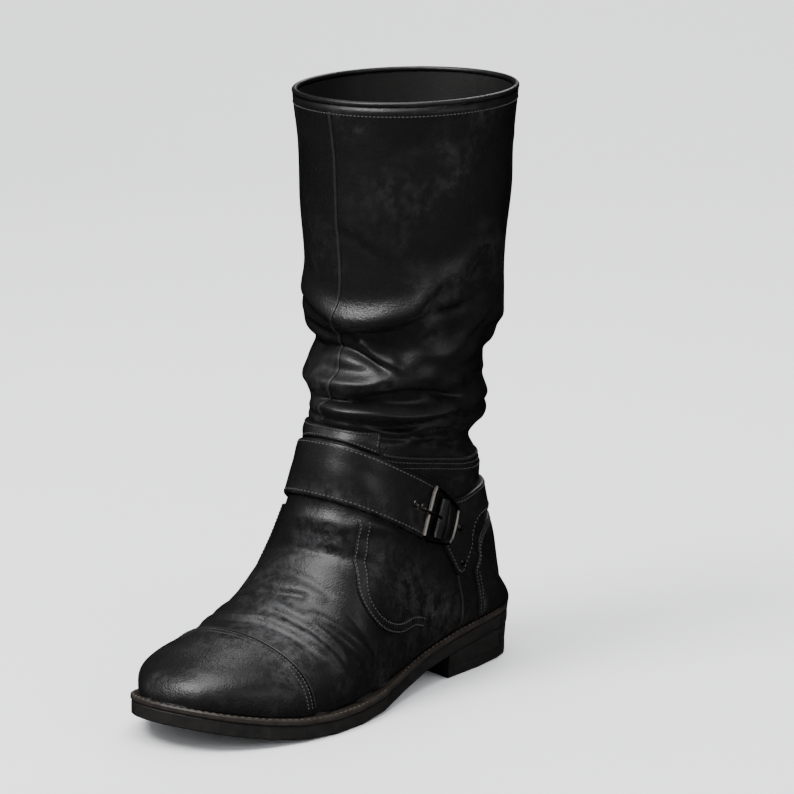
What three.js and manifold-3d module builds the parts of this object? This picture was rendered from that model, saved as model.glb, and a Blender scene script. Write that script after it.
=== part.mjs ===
// A mid-calf leather boot for the left foot, standing empty on its sole.
// Millimetres, +Z up. The toe points along -Y and the outer side of the foot is +X.
// The origin is on the ground under the middle of the heel.

import * as THREE from "three";
import { mergeVertices } from "three/addons/utils/BufferGeometryUtils.js";
import Module from "manifold-3d";

const wasm = await Module();
wasm.setup();

// Driving sizes.
const FOOT_LENGTH = 285; // back of the heel to the tip of the toe, at the upper's lower edge
const HEEL_BACK = 33; // from the middle of the heel to its back
const BALL_WIDTH = 100; // upper across the ball
const INSTEP_RISE = 112; // top of the throat above the sole
const SHAFT_TOP = 354; // collar above the ground
const SHAFT_DEPTH = 132; // front to back at the collar
const SHAFT_WIDTH = 124; // side to side at the collar
const HEEL_HEIGHT = 32; // top of the sole above the ground at the heel
const TOE_SPRING = 13.5; // lift of the sole at the toe tip
const WALL = 2.6; // leather with its lining
const CLEAR = 0.3; // between pieces that touch
const WELT_THICK = 3.3;
const WELT_REACH = 4; // welt beyond the upper
const OUTSOLE_THICK = 8.5;
const OUTSOLE_REACH = 3.5; // outsole beyond the upper
const TOE_REACH = 3.5; // and how much more both reach at the toe
const TOP_PIECE_THICK = 7;
const HEEL_LENGTH = 78; // back of the heel to its breast
const INSOLE_THICK = 2.5;
const FOLD_DEPTH = 5; // how far a full fold of the ankle stands out or in
const STRAP_WIDTH = 33;
const STRAP_THICK = 3;
const STRAP_SLOPE = 29; // degrees, down to the heel
const HARNESS_THICK = 2.6; // heel strap
const OVERLAY_THICK = 1.2; // toe cap, counter, tab and seam strips
const LIFT = 0.4; // of the toe cap over the upper
const WIRE = 2.4; // buckle frame
const BUCKLE_LENGTH = 26;
const BUCKLE_FRONT = 36; // frame height at its front bar
const BUCKLE_REAR = 25; // and at its rear bar
const ROLLER = 6; // leather-covered middle bar of the buckle
const PRONG = 1.8;
const RIVET = 4;
const BINDING = 3.4; // rolled edge of the collar
const ZIP_GUARD_WIDTH = 4;
const ZIP_SLOT = 2.4; // between the guards
const SLIDER_LENGTH = 10;
const SLIDER_WIDTH = 7;
const SLIDER_THICK = 2.2;
const PULL_LENGTH = 24;
const PULL_WIDTH = 5;
const PULL_THICK = 1.4;

const table = (columns, rows) =>
  rows.map((row) => Object.fromEntries(columns.map((name, i) => [name, row[i]])));

// Top of the sole along the foot. `along` is a share of FOOT_LENGTH from the heel, `heel` of the heel's
// lift and `spring` of TOE_SPRING.
const SEAT = table(
  ["along", "heel", "spring"],
  [
    [-0.06, 1.0, 0],
    [0.05, 1.0, 0],
    [0.15, 0.93, 0],
    [0.25, 0.79, 0],
    [0.35, 0.57, 0],
    [0.45, 0.3, 0],
    [0.53, 0.11, 0],
    [0.6, 0.01, 0],
    [0.64, 0, 0],
    [0.74, 0, 0],
    [0.8, 0, 0.1],
    [0.87, 0, 0.32],
    [0.94, 0, 0.64],
    [1.0, 0, 0.96],
    [1.06, 0, 1.25],
  ],
);

// Sections of the foot from toe to heel. Each stands on the sole at `along` and leans to `top`, both
// shares of FOOT_LENGTH. `rise` is a share of INSTEP_RISE. The half widths at the sole and at the
// widest are shares of half the BALL_WIDTH. `belly` is the share of the rise where it is widest,
// `crown` its roundness, `ridge` how far the top leans to the inner side, a share of half the
// BALL_WIDTH.
const FOOT = table(
  ["along", "top", "rise", "outer", "inner", "outerWide", "innerWide", "belly", "crown", "ridge"],
  [
    [1.0, 1.0, 0, 0, 0, 0, 0, 0.4, 2.0, -0.06],
    [0.993, 0.993, 0.05, 0.2, 0.25, 0.21, 0.26, 0.4, 2.1, -0.06],
    [0.97, 0.97, 0.12, 0.41, 0.46, 0.43, 0.48, 0.4, 2.2, -0.07],
    [0.93, 0.93, 0.19, 0.61, 0.64, 0.63, 0.66, 0.38, 2.25, -0.09],
    [0.87, 0.87, 0.25, 0.8, 0.78, 0.82, 0.8, 0.36, 2.25, -0.12],
    [0.8, 0.8, 0.305, 0.94, 0.86, 0.96, 0.89, 0.34, 2.15, -0.14],
    [0.72, 0.72, 0.39, 1.0, 0.9, 1.02, 0.94, 0.32, 2.05, -0.15],
    [0.64, 0.645, 0.515, 0.98, 0.84, 1.01, 0.92, 0.3, 2.0, -0.14],
    [0.56, 0.59, 0.66, 0.91, 0.71, 0.95, 0.86, 0.32, 2.15, -0.12],
    [0.46, 0.57, 0.745, 0.79, 0.6, 0.87, 0.82, 0.34, 2.3, -0.08],
    [0.36, 0.553, 0.82, 0.69, 0.58, 0.82, 0.81, 0.36, 2.4, -0.06],
    [0.26, 0.54, 0.885, 0.64, 0.6, 0.78, 0.8, 0.38, 2.45, -0.05],
    [0.17, 0.53, 0.945, 0.61, 0.6, 0.76, 0.79, 0.4, 2.6, -0.04],
    [0.09, 0.52, 0.995, 0.54, 0.54, 0.74, 0.78, 0.41, 2.7, -0.045],
    [0.03, 0.513, 1.035, 0.37, 0.37, 0.74, 0.78, 0.42, 2.8, -0.05],
  ],
);

// Closed sections of the shaft from heel to collar. `backIn` is how far the back stands in from the
// heel's back and `front` where the front stands, both shares of SHAFT_DEPTH. The heights are shares
// of the way from the heel seat to the collar. `half` is a share of half the SHAFT_WIDTH and `centre`
// of SHAFT_WIDTH.
const SHAFT = table(
  ["backIn", "backUp", "front", "frontUp", "half", "centre", "belly"],
  [
    [0.015, 0.0, 1.085, 0.385, 0.6, -0.025, 0.43],
    [0.02, 0.045, 1.085, 0.41, 0.6, -0.035, 0.44],
    [0.05, 0.1, 1.07, 0.435, 0.605, -0.04, 0.45],
    [0.105, 0.155, 1.045, 0.46, 0.615, -0.045, 0.46],
    [0.165, 0.215, 1.02, 0.485, 0.635, -0.045, 0.48],
    [0.2, 0.275, 1.01, 0.51, 0.67, -0.05, 0.5],
    [0.21, 0.335, 1.005, 0.54, 0.71, -0.05, 0.5],
    [0.195, 0.395, 1.0, 0.57, 0.745, -0.05, 0.5],
    [0.17, 0.455, 1.0, 0.605, 0.79, -0.05, 0.5],
    [0.14, 0.515, 1.0, 0.645, 0.825, -0.05, 0.5],
    [0.12, 0.58, 1.0, 0.69, 0.855, -0.05, 0.5],
    [0.1, 0.655, 1.005, 0.735, 0.885, -0.05, 0.5],
    [0.085, 0.735, 1.01, 0.79, 0.91, -0.05, 0.5],
    [0.075, 0.82, 1.015, 0.855, 0.94, -0.05, 0.5],
    [0.06, 0.91, 1.025, 0.925, 0.965, -0.055, 0.5],
    [0.04, 1.0, 1.045, 0.985, 1.0, -0.055, 0.5],
  ],
);

// Folds of the ankle. A crest or trough runs round the shaft from one turn to another, in degrees from
// the toe to the outer side, and its heights are shares of the way from the heel seat to the collar.
// `depth` is a share of FOLD_DEPTH, below zero for a trough, and `width` a share of the shaft's
// height.
const FOLDS = table(
  ["from", "fromUp", "middleUp", "to", "toUp", "depth", "width"],
  [
    [-75, 0.625, 0.59, 100, 0.675, 0.75, 0.034],
    [-75, 0.54, 0.545, 70, 0.56, -1.0, 0.024],
    [60, 0.565, 0.565, 130, 0.55, -0.5, 0.024],
    [38, 0.508, 0.525, 112, 0.545, 0.6, 0.024],
    [-75, 0.475, 0.475, 85, 0.485, 0.9, 0.022],
    [-60, 0.42, 0.448, 115, 0.44, -0.6, 0.018],
    [-30, 0.44, 0.42, 122, 0.44, 0.7, 0.018],
    [-60, 0.4, 0.396, 130, 0.385, -0.6, 0.016],
    [80, 0.6, 0.605, 215, 0.6, 0.5, 0.045],
    [80, 0.49, 0.488, 215, 0.49, -1.1, 0.032],
    [80, 0.425, 0.418, 215, 0.42, 0.9, 0.028],
    [60, 0.355, 0.347, 240, 0.35, -1.0, 0.022],
    [70, 0.3, 0.29, 230, 0.295, 0.4, 0.022],
    [-145, 0.6, 0.62, -45, 0.64, 0.7, 0.034],
    [-150, 0.515, 0.535, -40, 0.54, -0.9, 0.024],
    [-150, 0.47, 0.47, -50, 0.475, 0.8, 0.025],
    [-150, 0.43, 0.425, -45, 0.42, -0.8, 0.02],
    [-140, 0.385, 0.38, -45, 0.38, 0.6, 0.02],
  ],
);

const lerpTable = (rows, key, column, at) => {
  let i = 1;
  while (i < rows.length - 1 && rows[i][key] < at) i++;
  const low = rows[i - 1];
  const high = rows[i];
  const share = Math.min(1, Math.max(0, (at - low[key]) / (high[key] - low[key])));
  return low[column] + share * (high[column] - low[column]);
};

const SOLE_THICK = WELT_THICK + OUTSOLE_THICK;
const seatAt = (fromHeel) =>
  SOLE_THICK +
  lerpTable(SEAT, "along", "heel", fromHeel / FOOT_LENGTH) * (HEEL_HEIGHT - SOLE_THICK) +
  lerpTable(SEAT, "along", "spring", fromHeel / FOOT_LENGTH) * TOE_SPRING;

// Every section as one row of lengths: its low or back point, its top or front point, and its half
// widths.
const stations = [
  ...FOOT.map((row) => {
    const half = BALL_WIDTH / 2;
    const seat = seatAt(row.along * FOOT_LENGTH) + CLEAR;
    return {
      lowAt: row.along * FOOT_LENGTH,
      lowZ: seat,
      topAt: row.top * FOOT_LENGTH,
      topZ: seat + row.rise * INSTEP_RISE,
      outer: row.outer * half,
      inner: row.inner * half,
      outerWide: row.outerWide * half,
      innerWide: row.innerWide * half,
      belly: row.belly,
      crown: row.crown,
      ridge: row.ridge * half,
      centre: row.along > 0.99 ? row.ridge * half : 0,
    };
  }),
  ...SHAFT.map((row) => {
    const rise = SHAFT_TOP - HEEL_HEIGHT;
    const half = (row.half * SHAFT_WIDTH) / 2;
    return {
      lowAt: row.backIn * SHAFT_DEPTH,
      lowZ: HEEL_HEIGHT + CLEAR + row.backUp * rise,
      topAt: row.front * SHAFT_DEPTH,
      topZ: HEEL_HEIGHT + CLEAR + row.frontUp * rise,
      outer: 0,
      inner: 0,
      outerWide: half,
      innerWide: half,
      belly: row.belly,
      crown: 2.1 + 0.7 * Math.max(0, 1 - row.backUp / 0.4),
      ridge: 0,
      centre: row.centre * SHAFT_WIDTH,
    };
  }),
];
const TOE_ROWS = FOOT.length;
const mixed = (low, high, lowShare) =>
  Object.fromEntries(Object.keys(low).map((k) => [k, low[k] * lowShare + high[k] * (1 - lowShare)]));
// Past the toe tip the rows go on as a mirror image, so that the tip is round.
const beyondToe = { ...stations[1], topZ: 2 * stations[0].topZ - stations[1].topZ };
for (const k of ["outer", "inner", "outerWide", "innerWide"]) beyondToe[k] = -stations[1][k];
const spineRows = [beyondToe, ...stations, mixed(stations.at(-1), stations.at(-2), 2)];

// The section at a place along the spine, 0 at the toe tip and one more at each station.
const stationAt = (place) => {
  const i = Math.min(stations.length - 2, Math.max(0, Math.floor(place)));
  const t = place - i;
  const [a, b, c, d] = spineRows.slice(i, i + 4);
  const smooth = (k) => {
    const square = 2 * a[k] - 5 * b[k] + 4 * c[k] - d[k];
    const cube = 3 * (b[k] - c[k]) + d[k] - a[k];
    return b[k] + 0.5 * t * (c[k] - a[k] + t * (square + t * cube));
  };
  return Object.fromEntries(Object.keys(b).map((k) => [k, smooth(k)]));
};

const QUARTER = 40; // steps in a quarter of a section before it is evened out

// Points of a section, evenly spaced: up its outer side from the sole or the back, over the top or
// front, and down its inner side.
const sectionPoints = (place, columns) => {
  const s = stationAt(place);
  const halfCurve = (side, foot, wide) => {
    const points = [];
    const lowX = Math.max(foot, 0);
    const wideX = Math.max(wide, 0);
    for (let i = 0; i <= 2 * QUARTER; i++) {
      const low = i <= QUARTER;
      const turn = ((low ? i : i - QUARTER) / QUARTER) * (Math.PI / 2);
      const x = low ? lowX + (wideX - lowX) * Math.sin(turn) : wideX * Math.cos(turn) ** (2 / s.crown);
      const h = low
        ? s.belly * (1 - Math.cos(turn))
        : s.belly + (1 - s.belly) * Math.sin(turn) ** (2 / s.crown);
      const lean = s.ridge * Math.sin((h * Math.PI) / 2) ** 2;
      points.push(
        new THREE.Vector3(
          s.centre + side * x + lean,
          HEEL_BACK - (s.lowAt + (s.topAt - s.lowAt) * h),
          s.lowZ + (s.topZ - s.lowZ) * h,
        ),
      );
    }
    return points;
  };
  const evened = (points) => {
    const run = [0];
    for (let i = 1; i < points.length; i++) run.push(run[i - 1] + points[i].distanceTo(points[i - 1]));
    const out = [];
    let j = 1;
    for (let c = 0; c <= columns / 2; c++) {
      const target = (run.at(-1) * c) / (columns / 2);
      while (j < points.length - 1 && run[j] < target) j++;
      const step = run[j] - run[j - 1];
      const share = step > 0 ? Math.min(1, (target - run[j - 1]) / step) : 0;
      out.push(points[j - 1].clone().lerp(points[j], share));
    }
    return out;
  };
  const up = evened(halfCurve(1, s.outer, s.outerWide));
  const down = evened(halfCurve(-1, s.inner, s.innerWide)).reverse();
  return [...up, ...down.slice(1)];
};

// Normals of a grid of points, outward for rows from toe to collar and columns from outer to inner
// side. A closed row wraps round at the back.
const gridNormals = (grid, closedFrom) =>
  grid.map((row, i) =>
    row.map((_, j) => {
      const last = row.length - 1;
      const wraps = i >= closedFrom;
      const before = j > 0 ? row[j - 1] : wraps ? row[last - 1] : row[j];
      const after = j < last ? row[j + 1] : wraps ? row[1] : row[j];
      const below = grid[Math.max(0, i - 1)];
      const above = grid[Math.min(grid.length - 1, i + 1)];
      const along = above[j].clone().sub(below[j]);
      if (wraps && (j === 0 || j === last)) {
        along.copy(above[0]).add(above[last]).sub(below[0]).sub(below[last]);
        if (i === closedFrom) along.copy(above[0]).sub(row[0]);
      }
      const across = after.clone().sub(before);
      const n = along.cross(across);
      return n.lengthSq() > 1e-12 ? n.normalize() : new THREE.Vector3(0, -0.8, 0.6);
    }),
  );

// A closed mesh from triangles of shared points. Points that fall together are joined, and a face with
// no area is dropped.
const solid = (triangles) => {
  const position = new Float32Array(triangles.length * 9);
  triangles.flat().forEach((p, i) => position.set([p.x, p.y, p.z], i * 3));
  const loose = new THREE.BufferGeometry();
  loose.setAttribute("position", new THREE.BufferAttribute(position, 3));
  const merged = mergeVertices(loose, 1e-3);
  const index = merged.index.array;
  const kept = [];
  for (let i = 0; i < index.length; i += 3) {
    const [a, b, c] = [index[i], index[i + 1], index[i + 2]];
    if (a !== b && b !== c && c !== a) kept.push(a, b, c);
  }
  merged.setIndex(kept);
  return merged;
};

// Triangles between two rows of points of the same length.
const strip = (low, high) => {
  const out = [];
  for (let j = 0; j + 1 < low.length; j++) {
    out.push([low[j], high[j + 1], low[j + 1]]);
    out.push([low[j], high[j], high[j + 1]]);
  }
  return out;
};
const sheet = (grid) => grid.slice(1).flatMap((row, i) => strip(grid[i], row));
const flipped = (triangles) => triangles.map(([a, b, c]) => [a, c, b]);

const AXIS = new THREE.Vector3(-0.045 * SHAFT_WIDTH, HEEL_BACK - 0.555 * SHAFT_DEPTH, 0);
const SHAFT_RISE = SHAFT_TOP - HEEL_HEIGHT;
const STRAP_TILT = THREE.MathUtils.degToRad(STRAP_SLOPE);
const STRAP_Z = 0.262 * SHAFT_TOP; // height of the strap's plane on the shaft's axis
const STRAP_REACH = 9; // over which the folds come back beside the strap
const FADE = 0.3; // share of a fold's run over which it dies away at either end

// How far the folds stand out at a point of the shaft.
const foldAt = (point) => {
  const turn = THREE.MathUtils.radToDeg(Math.atan2(point.x - AXIS.x, AXIS.y - point.y));
  const up = (point.z - HEEL_HEIGHT) / SHAFT_RISE;
  let sum = 0;
  for (const fold of FOLDS) {
    const at = turn < fold.from ? turn + 360 : turn;
    const run = (at - fold.from) / (fold.to - fold.from);
    if (run <= 0 || run >= 1) continue;
    const bow = fold.middleUp - (fold.fromUp + fold.toUp) / 2;
    const crest = fold.fromUp + run * (fold.toUp - fold.fromUp) + bow * 4 * run * (1 - run);
    const off = (up - crest) / fold.width;
    const fade = THREE.MathUtils.smoothstep(Math.min(run, 1 - run), 0, FADE);
    sum += fold.depth * Math.exp(-off * off) * fade;
  }
  const across = (point.y - AXIS.y) * Math.sin(STRAP_TILT) + (point.z - STRAP_Z) * Math.cos(STRAP_TILT);
  const edge = STRAP_WIDTH / 2;
  const held = THREE.MathUtils.smoothstep(Math.abs(across), edge, edge + STRAP_REACH);
  return sum * FOLD_DEPTH * (turn > 75 || turn < -75 ? 1 : held);
};

// Steps between one station and the next, toe to collar.
const FOOT_STEPS = [...Array(4).fill(2), ...Array(9).fill(1), 2];
const SHAFT_STEPS = [3, ...Array(3).fill(1), ...Array(7).fill(3), ...Array(5).fill(1)];
const STEPS = [...FOOT_STEPS, ...SHAFT_STEPS];
const SHUT = TOE_ROWS; // station where the sections close at the back of the heel

// A point lifted to the top of the sole if it is below it.
const onSole = (p) => p.setZ(Math.max(p.z, seatAt(HEEL_BACK - p.y) + CLEAR));

// The outer face of the upper as rows of points.
const upperFace = (columns) => {
  const at = [0];
  STEPS.forEach((n, i) => {
    for (let k = 1; k <= n; k++) at.push(i + k / n);
  });
  const shut = at.indexOf(SHUT);
  const smooth = at.map((place) => sectionPoints(place, columns));
  const flat = (normals) =>
    normals.map((row, i) =>
      row.map((n, j) => {
        if (i === 0) return new THREE.Vector3(0, -1, 0);
        const level = ((j === 0 || j === columns) && i < shut) || i === at.length - 1;
        return level ? n.clone().setZ(0).normalize() : n;
      }),
    );
  const out = flat(gridNormals(smooth, shut));
  const grid = smooth.map((row, i) =>
    row.map((p, j) => onSole(p.clone().addScaledVector(out[i][j], WALL + foldAt(p)))),
  );
  return { at, shut, grid, normals: flat(gridNormals(grid, shut)) };
};

const COLUMNS = 28;
const face = upperFace(COLUMNS);

const upperGeometry = () => {
  const { shut: closedRow, grid: outerGrid, normals } = face;
  const innerGrid = outerGrid.map((row, i) =>
    row.map((p, j) => p.clone().addScaledVector(normals[i][j], -WALL)),
  );
  const triangles = [...sheet(outerGrid), ...flipped(sheet(innerGrid))];
  // The rim at the collar, and the feather edges down both sides of the foot.
  triangles.push(...strip(outerGrid.at(-1), innerGrid.at(-1)));
  for (const j of [0, COLUMNS]) {
    const outerEdge = outerGrid.slice(0, closedRow + 1).map((row) => row[j]);
    const innerEdge = innerGrid.slice(0, closedRow + 1).map((row) => row[j]);
    triangles.push(...(j === 0 ? strip(outerEdge, innerEdge) : flipped(strip(outerEdge, innerEdge))));
  }
  return solid(triangles);
};

// Joined and cut shapes.
const toManifold = (geometry) => {
  const bare = new THREE.BufferGeometry();
  const loose = geometry.index ? geometry.toNonIndexed() : geometry;
  bare.setAttribute("position", loose.getAttribute("position"));
  const indexed = mergeVertices(bare, 1e-3);
  return new wasm.Manifold(
    new wasm.Mesh({
      numProp: 3,
      vertProperties: new Float32Array(indexed.getAttribute("position").array),
      triVerts: new Uint32Array(indexed.index.array),
    }),
  );
};
const toGeometry = (manifold) => {
  const mesh = manifold.getMesh();
  const geometry = new THREE.BufferGeometry();
  geometry.setAttribute("position", new THREE.BufferAttribute(new Float32Array(mesh.vertProperties), 3));
  geometry.setIndex([...mesh.triVerts]);
  return geometry;
};

const largest = (manifold) =>
  manifold.decompose().reduce((best, body) => (body.volume() > best.volume() ? body : best));

// The upper's outer face, grown by the gap to its neighbours and filled.
const grownUpper = (() => {
  const grid = face.grid.map((row, i) =>
    row.map((p, j) => p.clone().addScaledVector(face.normals[i][j], CLEAR)),
  );
  const under = (j) => grid.slice(0, face.shut + 1).map((row) => row[j]);
  const rim = grid.at(-1);
  const middle = rim.reduce((sum, p) => sum.add(p), new THREE.Vector3()).divideScalar(rim.length);
  const lid = rim.slice(1).map((p, j) => [p, rim[j], middle]);
  return toManifold(solid([...sheet(grid), ...lid, ...strip(under(0), under(COLUMNS))]));
})();

// Where a ray from inside the boot leaves the upper.
const faceTriangles = sheet(face.grid);
const BURIED = 2.5; // how deep a piece's blank reaches before its underside is cut
const cast = (origin, direction) => {
  const ray = new THREE.Ray(origin, direction.clone().normalize());
  const found = new THREE.Vector3();
  let best = null;
  let far = 0;
  for (const [a, b, c] of faceTriangles) {
    if (!ray.intersectTriangle(a, b, c, false, found)) continue;
    const away = found.distanceTo(origin);
    if (best && away <= far) continue;
    far = away;
    best = { point: found.clone(), normal: new THREE.Triangle(a, b, c).getNormal(new THREE.Vector3()) };
  }
  return best;
};

// A closed piece that lies on the upper: `hits` is a grid of places on it, rows by columns. Its
// underside is cut to the upper's own face.
const slab = (hits, thick) => {
  const normals = gridNormals(
    hits.map((row) => row.map((hit) => hit.point)),
    Infinity,
  );
  const turned = normals[0][0].dot(hits[0][0].normal) < 0 ? -1 : 1;
  const at = (away) =>
    hits.map((row, i) =>
      row.map((hit, j) => hit.point.clone().addScaledVector(normals[i][j], turned * away)),
    );
  const low = at(-BURIED);
  const high = at(CLEAR + thick);
  const last = hits.length - 1;
  const end = hits[0].length - 1;
  const column = (grid, j) => grid.map((row) => row[j]);
  const triangles = [
    ...sheet(high),
    ...flipped(sheet(low)),
    ...strip(low[0], high[0]),
    ...flipped(strip(low[last], high[last])),
    ...flipped(strip(column(low, 0), column(high, 0))),
    ...strip(column(low, end), column(high, end)),
  ];
  return largest(toManifold(solid(turned > 0 ? triangles : flipped(triangles))).subtract(grownUpper));
};

const degrees = THREE.MathUtils.degToRad;

// A place on the shaft by its turn from the toe, in degrees to the outer side, and its height.
const onShaft = (turn, z) =>
  cast(
    new THREE.Vector3(AXIS.x, AXIS.y, z),
    new THREE.Vector3(Math.sin(degrees(turn)), -Math.cos(degrees(turn)), 0),
  );
// A place on the side of the foot, seen from that side.
const onSide = (side, fromHeel, z) =>
  cast(new THREE.Vector3(0, HEEL_BACK - fromHeel, z), new THREE.Vector3(side, 0, 0));
const spread = (from, to, steps) =>
  Array.from({ length: steps + 1 }, (_, i) => from + ((to - from) * i) / steps);
const shaftZ = (up) => HEEL_HEIGHT + up * SHAFT_RISE;

// The strap lies in a plane that slopes down to the heel. Angles turn in that plane from the front to
// the outer side, and `across` is the way over the strap's width.
const strapMiddle = new THREE.Vector3(AXIS.x, AXIS.y, STRAP_Z);
const strapForward = new THREE.Vector3(0, -Math.cos(STRAP_TILT), Math.sin(STRAP_TILT));
const strapAcross = new THREE.Vector3(0, Math.sin(STRAP_TILT), Math.cos(STRAP_TILT));
const onStrap = (angle, across) =>
  cast(
    strapMiddle.clone().addScaledVector(strapAcross, across),
    strapForward
      .clone()
      .multiplyScalar(Math.cos(degrees(angle)))
      .add(new THREE.Vector3(Math.sin(degrees(angle)), 0, 0)),
  );

const STRAP_END = 56; // angle where the strap ends at the buckle's roller
const ankleStrap = (width, thick) =>
  slab(
    spread(-width / 2, width / 2, 3).map((across) =>
      spread(-STRAP_END, STRAP_END, 18).map((angle) => onStrap(angle, across)),
    ),
    thick,
  );

// The heel strap's lower and upper edge from the buckle to the middle of the back, as turns in degrees
// and shares of SHAFT_TOP. Its lower edge dips to a point where it is riveted.
const HEEL_STRAP = table(
  ["lowTurn", "low", "highTurn", "high"],
  [
    [69, 0.252, 81, 0.315],
    [73, 0.232, 86, 0.313],
    [79, 0.208, 92, 0.312],
    [85, 0.187, 98, 0.313],
    [90, 0.183, 103, 0.314],
    [95, 0.197, 108, 0.316],
    [103, 0.227, 114, 0.318],
    [111, 0.254, 119, 0.32],
    [120, 0.268, 126, 0.321],
    [135, 0.27, 138, 0.322],
    [150, 0.27, 152, 0.323],
    [166, 0.27, 166, 0.323],
    [180, 0.27, 180, 0.324],
  ],
);
const heelStrap = (thick) => {
  const outer = HEEL_STRAP;
  const inner = HEEL_STRAP.slice(0, -1)
    .reverse()
    .map((row) => ({ ...row, lowTurn: 360 - row.lowTurn, highTurn: 360 - row.highTurn }));
  const columns = [...outer, ...inner];
  return slab(
    spread(0, 1, 3).map((share) =>
      columns.map((row) =>
        onShaft(
          row.lowTurn + share * (row.highTurn - row.lowTurn),
          (row.low + share * (row.high - row.low)) * SHAFT_TOP,
        ),
      ),
    ),
    thick,
  );
};

// A closed tube round a loop of points.
const tubeLoop = (points, radius, sides) => {
  const curve = new THREE.CatmullRomCurve3(points, true, "catmullrom", 0.2);
  const steps = Math.round(points.length * 1.5);
  const frames = curve.computeFrenetFrames(steps, true);
  const rings = spread(0, 1, steps).map((t, i) => {
    const middle = curve.getPointAt(t % 1);
    return Array.from({ length: sides + 1 }, (_, k) => {
      const turn = ((k % sides) / sides) * 2 * Math.PI;
      return middle
        .clone()
        .addScaledVector(frames.normals[i], Math.cos(turn) * radius)
        .addScaledVector(frames.binormals[i], Math.sin(turn) * radius);
    });
  });
  rings[steps] = rings[0];
  return solid(flipped(sheet(rings)));
};

// A rod through points, with flat ends.
const rod = (points, radius, sides, steps) => {
  const circle = new THREE.Shape(
    Array.from({ length: sides }, (_, k) =>
      new THREE.Vector2(radius, 0).rotateAround(new THREE.Vector2(), (k / sides) * 2 * Math.PI),
    ),
  );
  return new THREE.ExtrudeGeometry(circle, {
    steps,
    bevelEnabled: false,
    extrudePath: new THREE.CatmullRomCurve3(points),
  });
};

// The buckle's own frame on one side: forward along the strap, across it and out from the leg.
const BUCKLE_ANGLE = 63;
const buckleFrame = (side) => {
  const middle = onStrap(side * BUCKLE_ANGLE, -1);
  const ahead = onStrap(side * (BUCKLE_ANGLE - 8), -1).point;
  const behind = onStrap(side * (BUCKLE_ANGLE + 8), -1).point;
  const forward = ahead.clone().sub(behind).normalize();
  const across = strapAcross.clone().addScaledVector(forward, -strapAcross.dot(forward)).normalize();
  const out = forward.clone().cross(across);
  if (out.dot(middle.normal) < 0) out.negate();
  const inside = middle.point.clone().addScaledVector(out, -BUCKLE_LENGTH);
  const at = (along, over, height) => {
    const origin = inside.clone().addScaledVector(forward, along).addScaledVector(across, over);
    return cast(origin, out).point.addScaledVector(out, height);
  };
  return { at };
};
const FRAME_HEIGHT = STRAP_THICK + 5 * CLEAR + WIRE / 2; // of the frame's middle line over the leg
const buckleRing = (side) => {
  const { at } = buckleFrame(side);
  const front = BUCKLE_LENGTH / 2;
  const tall = (BUCKLE_FRONT - WIRE) / 2;
  const low = (BUCKLE_REAR - WIRE) / 2;
  const corner = 2.5;
  const slope = (tall - low) / BUCKLE_LENGTH;
  return tubeLoop(
    [
      at(front, -tall + corner, FRAME_HEIGHT),
      at(front, 0, FRAME_HEIGHT),
      at(front, tall - corner, FRAME_HEIGHT),
      at(front - corner / 3, tall - corner / 3, FRAME_HEIGHT),
      at(front - corner, tall - corner * slope, FRAME_HEIGHT),
      at(0, (tall + low) / 2, FRAME_HEIGHT),
      at(corner - front, low + corner * slope, FRAME_HEIGHT),
      at(corner / 3 - front, low - corner / 3, FRAME_HEIGHT),
      at(-front, low - corner, FRAME_HEIGHT),
      at(-front, 0, FRAME_HEIGHT),
      at(-front, -low + corner, FRAME_HEIGHT),
      at(corner / 3 - front, -low + corner / 3, FRAME_HEIGHT),
      at(corner - front, -low - corner * slope, FRAME_HEIGHT),
      at(0, -(tall + low) / 2, FRAME_HEIGHT),
      at(front - corner, -tall + corner * slope, FRAME_HEIGHT),
      at(front - corner / 3, -tall + corner / 3, FRAME_HEIGHT),
    ],
    WIRE / 2,
    6,
  );
};
const ROLLER_LENGTH = 24;
const buckleRoller = (side) => {
  const { at } = buckleFrame(side);
  const height = 3 * CLEAR + ROLLER / 2;
  return rod([at(-1, -ROLLER_LENGTH / 2, height), at(-1, ROLLER_LENGTH / 2, height)], ROLLER / 2, 12, 1);
};
const buckleProng = (side) => {
  const { at } = buckleFrame(side);
  const over = FRAME_HEIGHT + WIRE / 2 + CLEAR + PRONG / 2;
  const front = BUCKLE_LENGTH / 2;
  return rod(
    [
      at(3.6, 0, over - 0.6),
      at(front - 4, 0, over + 0.4),
      at(front, 0, over),
      at(front + 4, 0, over - 1.4),
      at(front + 7, 0, over - 3.2),
    ],
    PRONG / 2,
    6,
    5,
  );
};

// A rivet with a low domed head on the heel strap, whose shank is cut to the strap's face.
const RIVET_SEAT = 1.5; // how deep the blank reaches below the seat
const rivet = (side, [turn, up]) => {
  const hit = onShaft(side * turn, up * SHAFT_TOP);
  const profile = [
    [0, -RIVET_SEAT],
    [RIVET / 2, -RIVET_SEAT],
    [RIVET / 2, 0],
    [RIVET * 0.36, RIVET * 0.17],
    [RIVET * 0.17, RIVET * 0.24],
    [0, RIVET * 0.26],
  ];
  const geometry = new THREE.LatheGeometry(
    profile.map(([r, h]) => new THREE.Vector2(r, h)),
    12,
  );
  const upright = new THREE.Vector3(0, 1, 0);
  geometry.applyQuaternion(new THREE.Quaternion().setFromUnitVectors(upright, hit.normal));
  const seat = hit.point.clone().addScaledVector(hit.normal, 2 * CLEAR + HARNESS_THICK);
  geometry.translate(seat.x, seat.y, seat.z);
  return largest(toManifold(geometry).subtract(heelStrap(HARNESS_THICK + CLEAR)));
};
// Rivets of the heel strap: turn and height.
const LOW_RIVET = [90, 0.2035];
const HIGH_RIVET = [88.5, 0.262];

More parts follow.
